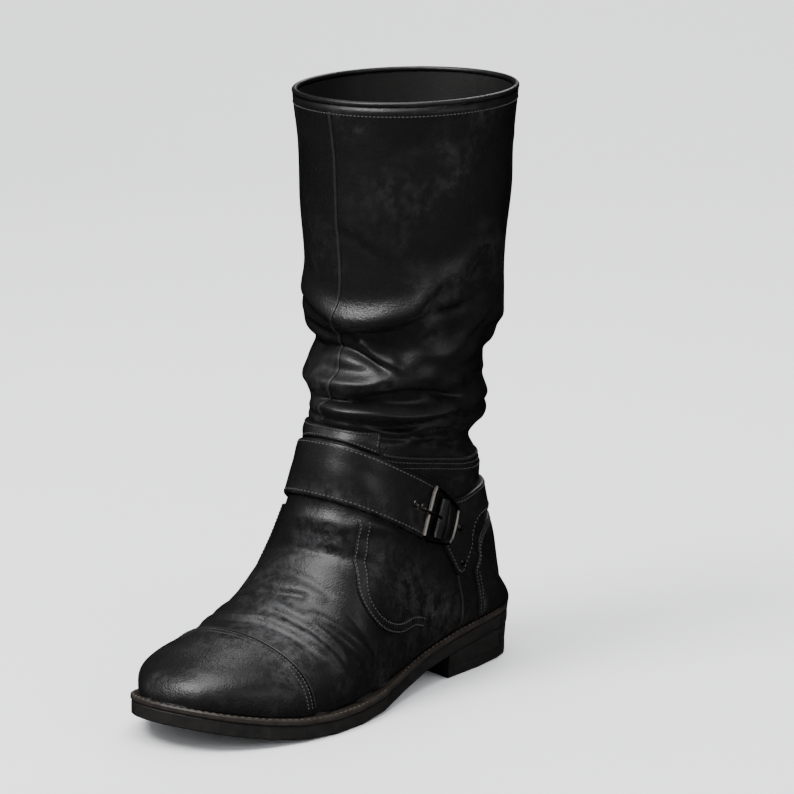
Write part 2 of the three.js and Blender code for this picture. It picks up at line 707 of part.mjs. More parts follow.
// Strip along a route on the side of the foot: points as shares of FOOT_LENGTH from the heel and of
// SHAFT_TOP.
const SEAM_WIDTH = 6.5;
const VAMP_SEAM = table(
  ["along", "up"],
  [
    [0.522, 0.31],
    [0.535, 0.27],
    [0.552, 0.225],
    [0.561, 0.19],
    [0.545, 0.158],
    [0.51, 0.137],
    [0.465, 0.127],
    [0.42, 0.13],
    [0.385, 0.122],
  ],
);
const seamRoute = new THREE.CatmullRomCurve3(
  VAMP_SEAM.map((row) => new THREE.Vector3(0, row.along * FOOT_LENGTH, row.up * SHAFT_TOP)),
);
const vampSeam = (side) =>
  slab(
    [-SEAM_WIDTH / 2, SEAM_WIDTH / 2].map((over) =>
      spread(0, 1, 16).map((t) => {
        const p = seamRoute.getPointAt(t);
        const way = seamRoute.getTangentAt(t);
        return onSide(side, p.y - over * way.z, p.z + over * way.y);
      }),
    ),
    OVERLAY_THICK,
  );

// Toe cap: the upper's own face from the toe tip to an edge across the vamp.
const CAP_EDGE = 5.2; // station of its edge at the top of the foot
const CAP_SWEEP = 0.25; // and how much further on it is at the sole
const CAP_PLACES = face.at.filter((place) => place < CAP_EDGE);
const CAP_ROWS = CAP_PLACES.length;
const toeCap = () => {
  const grid = Array.from({ length: CAP_ROWS + 1 }, (_, i) => {
    const columns = [];
    for (let j = 0; j <= COLUMNS; j++) {
      const side = Math.abs((2 * j) / COLUMNS - 1);
      const edge = CAP_EDGE + CAP_SWEEP * side * side;
      const place = i < CAP_ROWS ? CAP_PLACES[i] : edge;
      columns.push(sectionPoints(place, COLUMNS)[j]);
    }
    return columns;
  });
  const normals = gridNormals(grid, Infinity);
  const at = (away) =>
    grid.map((row, i) =>
      row.map((p, j) => {
        const n = normals[i][j].clone();
        if (j === 0 || j === COLUMNS) n.setZ(0).normalize();
        if (i === 0) n.set(0, -1, 0);
        return onSole(p.clone().addScaledVector(n, WALL + away));
      }),
    );
  const low = at(LIFT);
  const high = at(LIFT + OVERLAY_THICK);
  const edgeOf = (grid2, j) => grid2.map((row) => row[j]);
  return solid([
    ...sheet(high),
    ...flipped(sheet(low)),
    ...strip(high[CAP_ROWS], low[CAP_ROWS]),
    ...strip(edgeOf(high, 0), edgeOf(low, 0)),
    ...flipped(strip(edgeOf(high, COLUMNS), edgeOf(low, COLUMNS))),
  ]);
};

// Heel counter: lower and upper edge from its front on the outer side to the middle of the back.
const COUNTER = table(
  ["lowTurn", "highTurn", "high"],
  [
    [119, 108.5, 0.178],
    [123, 114, 0.203],
    [128, 119, 0.223],
    [134, 126, 0.24],
    [141, 134, 0.252],
    [148, 143, 0.258],
    [155, 151, 0.261],
    [161, 158, 0.262],
    [167, 165, 0.262],
    [173.5, 172.5, 0.262],
    [180, 180, 0.262],
  ],
);
const COUNTER_FOOT = 0.7; // over the upper's lower edge
const heelCounter = () => {
  const inner = COUNTER.slice(0, -1)
    .reverse()
    .map((row) => ({ ...row, lowTurn: 360 - row.lowTurn, highTurn: 360 - row.highTurn }));
  return slab(
    spread(0, 1, 6).map((share) =>
      [...COUNTER, ...inner].map((row) => {
        const low = HEEL_HEIGHT + CLEAR + COUNTER_FOOT;
        const turn = row.lowTurn + share * (row.highTurn - row.lowTurn);
        return onShaft(turn, low + share * (row.high * SHAFT_TOP - low));
      }),
    ),
    OVERLAY_THICK,
  );
};

// Tab at the front of the ankle, just above the strap.
const TAB_TURN = 28;
const TAB_GAP = 1.2;
const TAB_HEIGHT = 7; // at its middle
const TAB_DROP = 2; // of its upper edge towards its ends
const strapEdge = (turn) => {
  const over = STRAP_WIDTH / 2 + TAB_GAP;
  let z = STRAP_Z + 2 * STRAP_WIDTH;
  for (let i = 0; i < 4; i++) {
    const forward = AXIS.y - onShaft(turn, z).point.y;
    z = STRAP_Z + (over + forward * Math.sin(STRAP_TILT)) / Math.cos(STRAP_TILT);
  }
  return z;
};
const frontTab = () =>
  slab(
    spread(0, 1, 3).map((share) =>
      spread(-1, 1, 14).map((side) => {
        const low = strapEdge(TAB_TURN * side);
        const high = strapEdge(0) + TAB_HEIGHT - TAB_DROP * side * side;
        return onShaft(TAB_TURN * side, low + share * (high - low));
      }),
    ),
    OVERLAY_THICK,
  );

// The rolled edge of the collar, on top of the upper's wall.
const collarBinding = () => {
  const rim = face.grid.at(-1).slice(0, -1);
  const sides = 6;
  const rings = rim.map((p, j) => {
    const away = face.normals.at(-1)[j].clone().setZ(0).normalize();
    const middle = p.clone().addScaledVector(away, -WALL / 2);
    return Array.from({ length: sides + 1 }, (_, k) => {
      const turn = (((k % sides) + 0.5) / sides) * 2 * Math.PI;
      return middle
        .clone()
        .addScaledVector(away, (Math.cos(turn) * BINDING) / 2)
        .setZ(middle.z + CLEAR + (BINDING / 2) * (Math.cos(Math.PI / sides) + Math.sin(turn)));
    });
  });
  return solid(flipped(sheet([...rings, rings[0]])));
};

// The zip down the inner side: places as turns and shares of the shaft's height, from the slider down.
const ZIP = table(
  ["turn", "up"],
  [
    [-86, 0.905],
    [-83.5, 0.84],
    [-82, 0.79],
    [-79, 0.72],
    [-75, 0.655],
    [-72.5, 0.6],
    [-70, 0.55],
  ],
);
const zipAt = (share) => {
  const place = share * (ZIP.length - 1);
  const i = Math.min(ZIP.length - 2, Math.floor(place));
  const t = place - i;
  const turn = ZIP[i].turn + t * (ZIP[i + 1].turn - ZIP[i].turn);
  return [turn, shaftZ(ZIP[i].up + t * (ZIP[i + 1].up - ZIP[i].up))];
};
const ZIP_RADIUS = SHAFT_WIDTH / 2;
const zipStrip = (from, to) =>
  slab(
    [from, to].map((over) =>
      spread(0, 1, 16).map((share) => {
        const [turn, z] = zipAt(share);
        return onShaft(turn + THREE.MathUtils.radToDeg(over / ZIP_RADIUS), z);
      }),
    ),
    OVERLAY_THICK,
  );

// The slider sits at the top of the zip, and its pull hangs from a pin across it. Their frame is
// across the zip, up it and out from the leg.
const sliderSeat = onShaft(...zipAt(0.02));
const zipFrame = (() => {
  const out = sliderSeat.normal.clone();
  const over = new THREE.Vector3(0, 0, 1).cross(out).normalize();
  return { out, over, up: out.clone().cross(over) };
})();
const SLIDER_LIFT = OVERLAY_THICK + 3 * CLEAR;
const PIN = 0.7; // radius of the slider's pin
const EYE = 1.6; // radius of the pull's eye
const EYE_WIDTH = 3.2;
const EAR_THICK = 0.8;
const PIN_GAP = 0.08;
const PIN_HEIGHT = SLIDER_LIFT + SLIDER_THICK + EYE + CLEAR;
const inZipFrame = (manifold) => {
  const place = new THREE.Matrix4().makeBasis(zipFrame.over, zipFrame.up, zipFrame.out);
  place.setPosition(sliderSeat.point);
  return toGeometry(manifold).applyMatrix4(place);
};
const box = (size, middle) => {
  const geometry = new THREE.BoxGeometry(...size);
  geometry.translate(...middle);
  return toManifold(geometry);
};
const crossPin = (radius, length) => {
  const geometry = new THREE.CylinderGeometry(radius, radius, length, 20);
  geometry.rotateZ(Math.PI / 2);
  geometry.translate(0, 0, PIN_HEIGHT);
  return toManifold(geometry);
};
const plate = (shape, thick, height) => {
  const geometry = new THREE.ExtrudeGeometry(shape, {
    depth: thick,
    bevelEnabled: false,
    curveSegments: 6,
  });
  geometry.translate(0, 0, height);
  return toManifold(geometry);
};
const zipSlider = () => {
  const half = SLIDER_WIDTH / 2;
  const shape = new THREE.Shape();
  shape.moveTo(-half * 0.6, -SLIDER_LENGTH / 2);
  shape.lineTo(half * 0.6, -SLIDER_LENGTH / 2);
  shape.lineTo(half, SLIDER_LENGTH * 0.2);
  shape.absarc(0, SLIDER_LENGTH * 0.2, half, 0, Math.PI, false);
  shape.closePath();
  const ears = [-1, 1].map((side) =>
    box(
      [EAR_THICK, 2 * EYE, PIN_HEIGHT + PIN - SLIDER_LIFT],
      [side * (EYE_WIDTH / 2 + CLEAR + EAR_THICK / 2), 0, (PIN_HEIGHT + PIN + SLIDER_LIFT) / 2 + CLEAR],
    ),
  );
  return inZipFrame(
    plate(shape, SLIDER_THICK, SLIDER_LIFT)
      .add(ears[0])
      .add(ears[1])
      .add(crossPin(PIN, EYE_WIDTH + 2 * CLEAR + EAR_THICK)),
  );
};
const zipPull = () => {
  const half = PULL_WIDTH / 2;
  const neck = EYE_WIDTH / 2;
  const shape = new THREE.Shape();
  shape.moveTo(-neck, 0);
  shape.lineTo(-neck, -EYE * 3);
  shape.lineTo(-half, -EYE * 4.5);
  shape.lineTo(-half, half - PULL_LENGTH);
  shape.absarc(0, half - PULL_LENGTH, half, Math.PI, 2 * Math.PI, false);
  shape.lineTo(half, -EYE * 4.5);
  shape.lineTo(neck, -EYE * 3);
  shape.lineTo(neck, 0);
  shape.closePath();
  const slot = new THREE.Path();
  slot.absellipse(0, half * 1.6 - PULL_LENGTH, half * 0.5, half * 1.1, 0, 2 * Math.PI, true);
  shape.holes.push(slot);
  return inZipFrame(
    plate(shape, PULL_THICK, PIN_HEIGHT - PULL_THICK / 2)
      .add(crossPin(EYE, EYE_WIDTH))
      .subtract(crossPin(PIN + PIN_GAP, 2 * EYE_WIDTH)),
  );
};

// The outline of the upper's lower edge, from the toe tip down the outer side to the heel, for the
// sole.
const FEATHER_PLACES = face.at.slice(0, face.shut + 1);
const feather = (side) =>
  FEATHER_PLACES.map((place) => {
    const s = stationAt(place);
    const half = Math.max(0, side > 0 ? s.outer : s.inner);
    const round = place === 0 || place === TOE_ROWS ? 0 : half;
    return new THREE.Vector2(s.centre + side * round, s.lowAt);
  });
const outline = [...feather(1), ...feather(-1).reverse().slice(1, -1)];

// The outline moved out by a reach, as points with the distance from the heel in y.
const reached = (reach) =>
  outline.map((p, i) => {
    const away = reach + TOE_REACH * THREE.MathUtils.smoothstep(p.y / FOOT_LENGTH, 0.38, 0.62);
    const before = outline[(i + outline.length - 1) % outline.length];
    const after = outline[(i + 1) % outline.length];
    const way = after.clone().sub(before).normalize();
    return new THREE.Vector2(p.x - way.y * away, p.y + way.x * away);
  });

// A layer of the sole. Each level has a reach beyond the upper's edge and a height, given the distance
// from the heel. A flat sheet closes it at the top and at the bottom.
const soleLayer = (levels) => {
  const rings = levels.map(({ reach, height }) =>
    reached(WALL + reach).map((p) => new THREE.Vector3(p.x, HEEL_BACK - p.y, height(p.y))),
  );
  const count = outline.length;
  const half = FEATHER_PLACES.length - 1;
  const closed = (ring) => [...ring, ring[0]];
  const wall = rings.slice(1).flatMap((ring, i) => strip(closed(ring), closed(rings[i])));
  const lid = (ring) => {
    const out = [];
    for (let i = 0; i < half; i++) {
      const [a, b] = [ring[i], ring[i + 1]];
      const [c, d] = [ring[(count - i) % count], ring[(count - i - 1) % count]];
      const middleA = a.clone().lerp(c, 0.5);
      const middleB = b.clone().lerp(d, 0.5);
      out.push([a, b, middleB], [a, middleB, middleA], [middleA, middleB, d], [middleA, d, c]);
    }
    return out;
  };
  return solid([...wall, ...lid(rings.at(-1)), ...flipped(lid(rings[0]))]);
};

const EDGE_ROUND = 0.8; // bevel of a sole layer's edge
const layerLevels = (reach, low, high, squeeze = 0) => [
  { reach: reach - EDGE_ROUND, height: low },
  { reach: reach - squeeze, height: (y) => low(y) + EDGE_ROUND },
  { reach, height: (y) => high(y) - EDGE_ROUND },
  { reach: reach - EDGE_ROUND, height: high },
];
const weltTop = (y) => seatAt(y);
const weltLow = (y) => seatAt(y) - WELT_THICK;
const soleTop = (y) => weltLow(y) - CLEAR;
const soleLow = (y) => seatAt(y) - SOLE_THICK;

// The heel's breast: a large round post in front of the heel is cut away.
const BREAST_RADIUS = 125;
const BREAST_HOLLOW = 5; // how far the middle of the breast stands behind its corners
const heelPiece = (reach, low, high, squeeze) => {
  const post = new THREE.CylinderGeometry(BREAST_RADIUS, BREAST_RADIUS, 3 * HEEL_HEIGHT, 128);
  post.rotateX(Math.PI / 2);
  post.translate(0, HEEL_BACK - HEEL_LENGTH + BREAST_HOLLOW - BREAST_RADIUS, 0);
  const block = new THREE.BoxGeometry(3 * BALL_WIDTH, 2 * FOOT_LENGTH, 3 * HEEL_HEIGHT);
  block.translate(0, HEEL_BACK - HEEL_LENGTH - BREAST_HOLLOW - FOOT_LENGTH, 0);
  const whole = soleLayer(layerLevels(reach, low, high, squeeze));
  return toManifold(whole).subtract(toManifold(post)).subtract(toManifold(block));
};
const HEEL_REACH = OUTSOLE_REACH - 0.5;
const stackTop = (y) => soleLow(y) - CLEAR;
const stackLow = () => TOP_PIECE_THICK + CLEAR;
const topPieceTop = () => TOP_PIECE_THICK;
const topPieceLow = () => 0;
const insoleLow = (y) => weltTop(y) + CLEAR;
const insoleTop = (y) => insoleLow(y) + INSOLE_THICK;
const HEEL_TAPER = 0.8; // how much shorter and narrower the heel is at the ground
const INSOLE_INSET = -WALL - TOE_REACH - 2 * CLEAR; // from the upper's outer face

const leather = new THREE.MeshStandardMaterial({ color: 0x1d1c1d, roughness: 0.45, metalness: 0 });

const boot = new THREE.Group();
const add = (name, shape, material) => {
  const geometry = shape.isBufferGeometry ? shape : toGeometry(shape);
  geometry.computeVertexNormals();
  const mesh = new THREE.Mesh(geometry, material);
  mesh.name = name;
  boot.add(mesh);
  return mesh;
};

const strapLeather = new THREE.MeshStandardMaterial({ color: 0x161617, roughness: 0.38, metalness: 0 });
const metal = new THREE.MeshStandardMaterial({ color: 0x4a4844, roughness: 0.35, metalness: 1 });

const welt = new THREE.MeshStandardMaterial({ color: 0x3a2f28, roughness: 0.6, metalness: 0 });
const rubber = new THREE.MeshStandardMaterial({ color: 0x191818, roughness: 0.7, metalness: 0 });

add("upper", upperGeometry(), leather);
add("insole", soleLayer(layerLevels(INSOLE_INSET, insoleLow, insoleTop)), welt);
add("welt", soleLayer(layerLevels(WELT_REACH, weltLow, weltTop)), welt);
add("outsole", soleLayer(layerLevels(OUTSOLE_REACH, soleLow, soleTop)), rubber);
add("heel_stack", heelPiece(HEEL_REACH, stackLow, stackTop, HEEL_TAPER), rubber);
add("heel_top_piece", heelPiece(HEEL_REACH - HEEL_TAPER, topPieceLow, topPieceTop, 0), rubber);
add("toe_cap", toeCap(), leather);
add("heel_counter", heelCounter(), leather);
add("vamp_seam_outer", vampSeam(1), leather);
add("vamp_seam_inner", vampSeam(-1), leather);
add("front_tab", frontTab(), leather);
add("collar_binding", collarBinding(), leather);
add("ankle_strap", ankleStrap(STRAP_WIDTH, STRAP_THICK), strapLeather);
add("heel_strap", heelStrap(HARNESS_THICK), strapLeather);
for (const [name, side] of [["outer", 1], ["inner", -1]]) {
  add("buckle_" + name, buckleRing(side), metal);
  add("roller_" + name, buckleRoller(side), strapLeather);
  add("prong_" + name, buckleProng(side), metal);
  add("rivet_low_" + name, rivet(side, LOW_RIVET), metal);
  add("rivet_high_" + name, rivet(side, HIGH_RIVET), metal);
}
add("zip_guard_front", zipStrip(ZIP_SLOT / 2, ZIP_SLOT / 2 + ZIP_GUARD_WIDTH), leather);
add("zip_guard_back", zipStrip(-ZIP_SLOT / 2 - ZIP_GUARD_WIDTH, -ZIP_SLOT / 2), leather);
add("zip_slider", zipSlider(), metal);
add("zip_pull", zipPull(), metal);

export default boot;
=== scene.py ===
import math

import bpy
import numpy as np
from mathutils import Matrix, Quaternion, Vector
from mathutils.bvhtree import BVHTree


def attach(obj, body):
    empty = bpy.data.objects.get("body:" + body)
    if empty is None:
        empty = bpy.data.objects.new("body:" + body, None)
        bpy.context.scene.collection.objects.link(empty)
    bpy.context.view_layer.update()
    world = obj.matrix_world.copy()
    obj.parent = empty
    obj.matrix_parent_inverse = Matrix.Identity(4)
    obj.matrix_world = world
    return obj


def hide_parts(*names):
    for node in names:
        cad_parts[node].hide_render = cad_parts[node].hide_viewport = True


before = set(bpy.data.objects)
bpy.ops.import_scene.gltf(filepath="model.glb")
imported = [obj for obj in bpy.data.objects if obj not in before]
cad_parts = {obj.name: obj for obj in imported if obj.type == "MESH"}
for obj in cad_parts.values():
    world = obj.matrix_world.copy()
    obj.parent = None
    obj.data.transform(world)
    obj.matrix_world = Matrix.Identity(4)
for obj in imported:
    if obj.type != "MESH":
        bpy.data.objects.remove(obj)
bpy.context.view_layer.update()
MM = 0.001

# Driving sizes, as in the CAD part
FOOT_LENGTH = 285
HEEL_BACK = 33
BALL_WIDTH = 100
INSTEP_RISE = 112
SHAFT_TOP = 354
SHAFT_DEPTH = 132
SHAFT_WIDTH = 124
HEEL_HEIGHT = 32
TOE_SPRING = 13.5
WALL = 2.6
CLEAR = 0.3
WELT_THICK = 3.3
OUTSOLE_THICK = 8.5
FOLD_DEPTH = 5
STRAP_WIDTH = 33
STRAP_THICK = 3
STRAP_SLOPE = 29
HARNESS_THICK = 2.6
OVERLAY_THICK = 1.2
BINDING = 3.4
SOLE_THICK = WELT_THICK + OUTSOLE_THICK
SHAFT_RISE = SHAFT_TOP - HEEL_HEIGHT
AXIS = (-0.045 * SHAFT_WIDTH, HEEL_BACK - 0.555 * SHAFT_DEPTH)
STRAP_TILT = math.radians(STRAP_SLOPE)
STRAP_Z = 0.262 * SHAFT_TOP
ON_OVERLAY = OVERLAY_THICK + CLEAR - 0.05
CAP_EDGE = 5.2
CAP_SWEEP = 0.25
CAP_STATION = 21
WELD_GAP = 0.00002


def table(columns, rows):
    return [dict(zip(columns, row)) for row in rows]


SEAT = table(
    ["along", "heel", "spring"],
    [
        [-0.06, 1.0, 0],
        [0.05, 1.0, 0],
        [0.15, 0.93, 0],
        [0.25, 0.79, 0],
        [0.35, 0.57, 0],
        [0.45, 0.3, 0],
        [0.53, 0.11, 0],
        [0.6, 0.01, 0],
        [0.64, 0, 0],
        [0.74, 0, 0],
        [0.8, 0, 0.1],
        [0.87, 0, 0.32],
        [0.94, 0, 0.64],
        [1.0, 0, 0.96],
        [1.06, 0, 1.25],
    ],
)

# Sections of the foot from toe to heel, as shares of the driving sizes
FOOT = table(
    ["along", "top", "rise", "outer", "inner", "outerWide", "innerWide", "belly", "crown", "ridge"],
    [
        [1.0, 1.0, 0, 0, 0, 0, 0, 0.4, 2.0, -0.06],
        [0.993, 0.993, 0.05, 0.2, 0.25, 0.21, 0.26, 0.4, 2.1, -0.06],
        [0.97, 0.97, 0.12, 0.41, 0.46, 0.43, 0.48, 0.4, 2.2, -0.07],
        [0.93, 0.93, 0.19, 0.61, 0.64, 0.63, 0.66, 0.38, 2.25, -0.09],
        [0.87, 0.87, 0.25, 0.8, 0.78, 0.82, 0.8, 0.36, 2.25, -0.12],
        [0.8, 0.8, 0.305, 0.94, 0.86, 0.96, 0.89, 0.34, 2.15, -0.14],
        [0.72, 0.72, 0.39, 1.0, 0.9, 1.02, 0.94, 0.32, 2.05, -0.15],
        [0.64, 0.645, 0.515, 0.98, 0.84, 1.01, 0.92, 0.3, 2.0, -0.14],
        [0.56, 0.59, 0.66, 0.91, 0.71, 0.95, 0.86, 0.32, 2.15, -0.12],
        [0.46, 0.57, 0.745, 0.79, 0.6, 0.87, 0.82, 0.34, 2.3, -0.08],
        [0.36, 0.553, 0.82, 0.69, 0.58, 0.82, 0.81, 0.36, 2.4, -0.06],
        [0.26, 0.54, 0.885, 0.64, 0.6, 0.78, 0.8, 0.38, 2.45, -0.05],
        [0.17, 0.53, 0.945, 0.61, 0.6, 0.76, 0.79, 0.4, 2.6, -0.04],
        [0.09, 0.52, 0.995, 0.54, 0.54, 0.74, 0.78, 0.41, 2.7, -0.045],
        [0.03, 0.513, 1.035, 0.37, 0.37, 0.74, 0.78, 0.42, 2.8, -0.05],
    ],
)

# Closed sections of the shaft from heel to collar
SHAFT = table(
    ["backIn", "backUp", "front", "frontUp", "half", "centre", "belly"],
    [
        [0.015, 0.0, 1.085, 0.385, 0.6, -0.025, 0.43],
        [0.02, 0.045, 1.085, 0.41, 0.6, -0.035, 0.44],
        [0.05, 0.1, 1.07, 0.435, 0.605, -0.04, 0.45],
        [0.105, 0.155, 1.045, 0.46, 0.615, -0.045, 0.46],
        [0.165, 0.215, 1.02, 0.485, 0.635, -0.045, 0.48],
        [0.2, 0.275, 1.01, 0.51, 0.67, -0.05, 0.5],
        [0.21, 0.335, 1.005, 0.54, 0.71, -0.05, 0.5],
        [0.195, 0.395, 1.0, 0.57, 0.745, -0.05, 0.5],
        [0.17, 0.455, 1.0, 0.605, 0.79, -0.05, 0.5],
        [0.14, 0.515, 1.0, 0.645, 0.825, -0.05, 0.5],
        [0.12, 0.58, 1.0, 0.69, 0.855, -0.05, 0.5],
        [0.1, 0.655, 1.005, 0.735, 0.885, -0.05, 0.5],
        [0.085, 0.735, 1.01, 0.79, 0.91, -0.05, 0.5],
        [0.075, 0.82, 1.015, 0.855, 0.94, -0.05, 0.5],
        [0.06, 0.91, 1.025, 0.925, 0.965, -0.055, 0.5],
        [0.04, 1.0, 1.045, 0.985, 1.0, -0.055, 0.5],
    ],
)

# Broad folds of the ankle: turns in degrees from the toe to the outer side, heights as shares of SHAFT_RISE
FOLDS = table(
    ["from", "fromUp", "middleUp", "to", "toUp", "depth", "width"],
    [
        [-75, 0.625, 0.59, 100, 0.675, 0.75, 0.034],
        [-75, 0.54, 0.545, 70, 0.56, -1.0, 0.024],
        [60, 0.565, 0.565, 130, 0.55, -0.5, 0.024],
        [38, 0.508, 0.525, 112, 0.545, 0.6, 0.024],
        [-75, 0.475, 0.475, 85, 0.485, 0.9, 0.022],
        [-60, 0.42, 0.448, 115, 0.44, -0.6, 0.018],
        [-30, 0.44, 0.42, 122, 0.44, 0.7, 0.018],
        [-60, 0.4, 0.396, 130, 0.385, -0.6, 0.016],
        [80, 0.6, 0.605, 215, 0.6, 0.5, 0.045],
        [80, 0.49, 0.488, 215, 0.49, -1.1, 0.032],
        [80, 0.425, 0.418, 215, 0.42, 0.9, 0.028],
        [60, 0.355, 0.347, 240, 0.35, -1.0, 0.022],
        [70, 0.3, 0.29, 230, 0.295, 0.4, 0.022],
        [-145, 0.6, 0.62, -45, 0.64, 0.7, 0.034],
        [-150, 0.515, 0.535, -40, 0.54, -0.9, 0.024],
        [-150, 0.47, 0.47, -50, 0.475, 0.8, 0.025],
        [-150, 0.43, 0.425, -45, 0.42, -0.8, 0.02],
        [-140, 0.385, 0.38, -45, 0.38, 0.6, 0.02],
    ],
)


def column(rows, name):
    return np.array([row[name] for row in rows], float)


def seat_at(from_heel):
    along = np.asarray(from_heel) / FOOT_LENGTH
    heel = np.interp(along, column(SEAT, "along"), column(SEAT, "heel"))
    spring = np.interp(along, column(SEAT, "along"), column(SEAT, "spring"))
    return SOLE_THICK + heel * (HEEL_HEIGHT - SOLE_THICK) + spring * TOE_SPRING


def smoothstep(x, low, high):
    t = np.clip((np.asarray(x, float) - low) / (high - low), 0, 1)
    return t * t * (3 - 2 * t)


def make_stations():
    out = []
    half = BALL_WIDTH / 2
    for row in FOOT:
        seat = float(seat_at(row["along"] * FOOT_LENGTH)) + CLEAR
        out.append(
            dict(
                lowAt=row["along"] * FOOT_LENGTH,
                lowZ=seat,
                topAt=row["top"] * FOOT_LENGTH,
                topZ=seat + row["rise"] * INSTEP_RISE,
                outer=row["outer"] * half,
                inner=row["inner"] * half,
                outerWide=row["outerWide"] * half,
                innerWide=row["innerWide"] * half,
                belly=row["belly"],
                crown=row["crown"],
                ridge=row["ridge"] * half,
                centre=row["ridge"] * half if row["along"] > 0.99 else 0,
            )
        )
    for row in SHAFT:
        wide = row["half"] * SHAFT_WIDTH / 2
        out.append(
            dict(
                lowAt=row["backIn"] * SHAFT_DEPTH,
                lowZ=HEEL_HEIGHT + CLEAR + row["backUp"] * SHAFT_RISE,
                topAt=row["front"] * SHAFT_DEPTH,
                topZ=HEEL_HEIGHT + CLEAR + row["frontUp"] * SHAFT_RISE,
                outer=0,
                inner=0,
                outerWide=wide,
                innerWide=wide,
                belly=row["belly"],
                crown=2.1 + 0.7 * max(0, 1 - row["backUp"] / 0.4),
                ridge=0,
                centre=row["centre"] * SHAFT_WIDTH,
            )
        )
    return out


STATIONS = make_stations()
KEYS = list(STATIONS[0])
TOE_ROWS = len(FOOT)
PLACES = np.array([[s[k] for k in KEYS] for s in STATIONS], float)
BEYOND_TOE = PLACES[1].copy()
BEYOND_TOE[KEYS.index("topZ")] = 2 * PLACES[0][KEYS.index("topZ")] - PLACES[1][KEYS.index("topZ")]
for crossed in ("outer", "inner", "outerWide", "innerWide"):
    BEYOND_TOE[KEYS.index(crossed)] *= -1
SPINE = np.vstack([BEYOND_TOE, PLACES, 2 * PLACES[-1] - PLACES[-2]])


def station_at(place):
    i = min(len(STATIONS) - 2, max(0, int(math.floor(place))))
    t = place - i
    a, b, c, d = SPINE[i : i + 4]
    mixed = b + 0.5 * t * (c - a + t * (2 * a - 5 * b + 4 * c - d + t * (3 * (b - c) + d - a)))
    return dict(zip(KEYS, mixed))


def half_curve(s, side, foot, wide):
    steps = 60
    turn = np.linspace(0, math.pi / 2, steps + 1)
    low_x, wide_x = max(foot, 0), max(wide, 0)
    sine, cosine = np.sin(turn), np.clip(np.cos(turn), 0, 1)
    x = np.concatenate([low_x + (wide_x - low_x) * sine, wide_x * cosine[1:] ** (2 / s["crown"])])
    rise = s["belly"] + (1 - s["belly"]) * sine[1:] ** (2 / s["crown"])
    h = np.concatenate([s["belly"] * (1 - cosine), rise])
    lean = s["ridge"] * np.sin(h * math.pi / 2) ** 2
    return np.stack(
        [
            s["centre"] + side * x + lean,
            HEEL_BACK - (s["lowAt"] + (s["topAt"] - s["lowAt"]) * h),
            s["lowZ"] + (s["topZ"] - s["lowZ"]) * h,
        ],
        1,
    )


def unit(vectors):
    return vectors / np.linalg.norm(vectors, axis=-1, keepdims=True)


def run_of(points):
    return np.concatenate([[0], np.cumsum(np.linalg.norm(np.diff(points, axis=0), axis=1))])


def at_run(target, run, points):
    return np.stack([np.interp(target, run, points[:, k]) for k in range(3)], -1)


def evened(points, count):
    run = run_of(points)
    return at_run(np.linspace(0, run[-1], count + 1), run, points)


def section_points(place, columns):
    s = station_at(place)
    up = evened(half_curve(s, 1, s["outer"], s["outerWide"]), columns // 2)
    down = evened(half_curve(s, -1, s["inner"], s["innerWide"]), columns // 2)[::-1]
    return np.vstack([up, down[1:]])


def grid_normals(grid, closed_from):
    before = np.concatenate([grid[:, :1], grid[:, :-1]], 1)
    after = np.concatenate([grid[:, 1:], grid[:, -1:]], 1)
    before[closed_from:, 0] = grid[closed_from:, -2]
    after[closed_from:, -1] = grid[closed_from:, 1]
    below = np.concatenate([grid[:1], grid[:-1]], 0)
    above = np.concatenate([grid[1:], grid[-1:]], 0)
    along = above - below
    if closed_from < len(grid):
        joined = along[closed_from:, 0] + along[closed_from:, -1]
        along[closed_from:, 0] = joined
        along[closed_from:, -1] = joined
        along[closed_from, 0] = along[closed_from, -1] = (above - grid)[closed_from, 0]
    n = np.cross(along, after - before)
    size = np.linalg.norm(n, axis=2, keepdims=True)
    return np.where(size > 1e-9, n / np.maximum(size, 1e-9), np.array([0, -0.8, 0.6]))


def turn_of(points):
    return np.degrees(np.arctan2(points[..., 0] - AXIS[0], AXIS[1] - points[..., 1]))


def off_strap(points):
    """How far a place is above the middle line of the ankle strap."""
    across = (points[..., 1] - AXIS[1]) * math.sin(STRAP_TILT)
    return across + (points[..., 2] - STRAP_Z) * math.cos(STRAP_TILT)


def fold_at(points):
    turn = turn_of(points)
    up = (points[..., 2] - HEEL_HEIGHT) / SHAFT_RISE
    total = np.zeros(turn.shape)
    for fold in FOLDS:
        at = np.where(turn < fold["from"], turn + 360, turn)
        run = (at - fold["from"]) / (fold["to"] - fold["from"])
        bow = fold["middleUp"] - (fold["fromUp"] + fold["toUp"]) / 2
        crest = fold["fromUp"] + run * (fold["toUp"] - fold["fromUp"]) + bow * 4 * run * (1 - run)
        off = (up - crest) / fold["width"]
        ends = smoothstep(np.minimum(run, 1 - run), 0, 0.3)
        total += np.where((run > 0) & (run < 1), fold["depth"] * np.exp(-off * off) * ends, 0)
    held = smoothstep(np.abs(off_strap(points)), STRAP_WIDTH / 2, STRAP_WIDTH / 2 + 9)
    return total * FOLD_DEPTH * np.where((turn > 75) | (turn < -75), 1, held)


def on_sole(points):
    low = seat_at(HEEL_BACK - points[..., 1]) + CLEAR
    out = points.copy()
    out[..., 2] = np.maximum(out[..., 2], low)
    return out


STEPS = [2] * 4 + [3] * 9 + [2, 3] + [2] * 3 + [3] * 7 + [1] * 5


def row_places(finer):
    out = [0.0]
    for i, n in enumerate(STEPS):
        count = n * finer
        out += [i + (k + 1) / count for k in range(count)]
    return np.array(out)


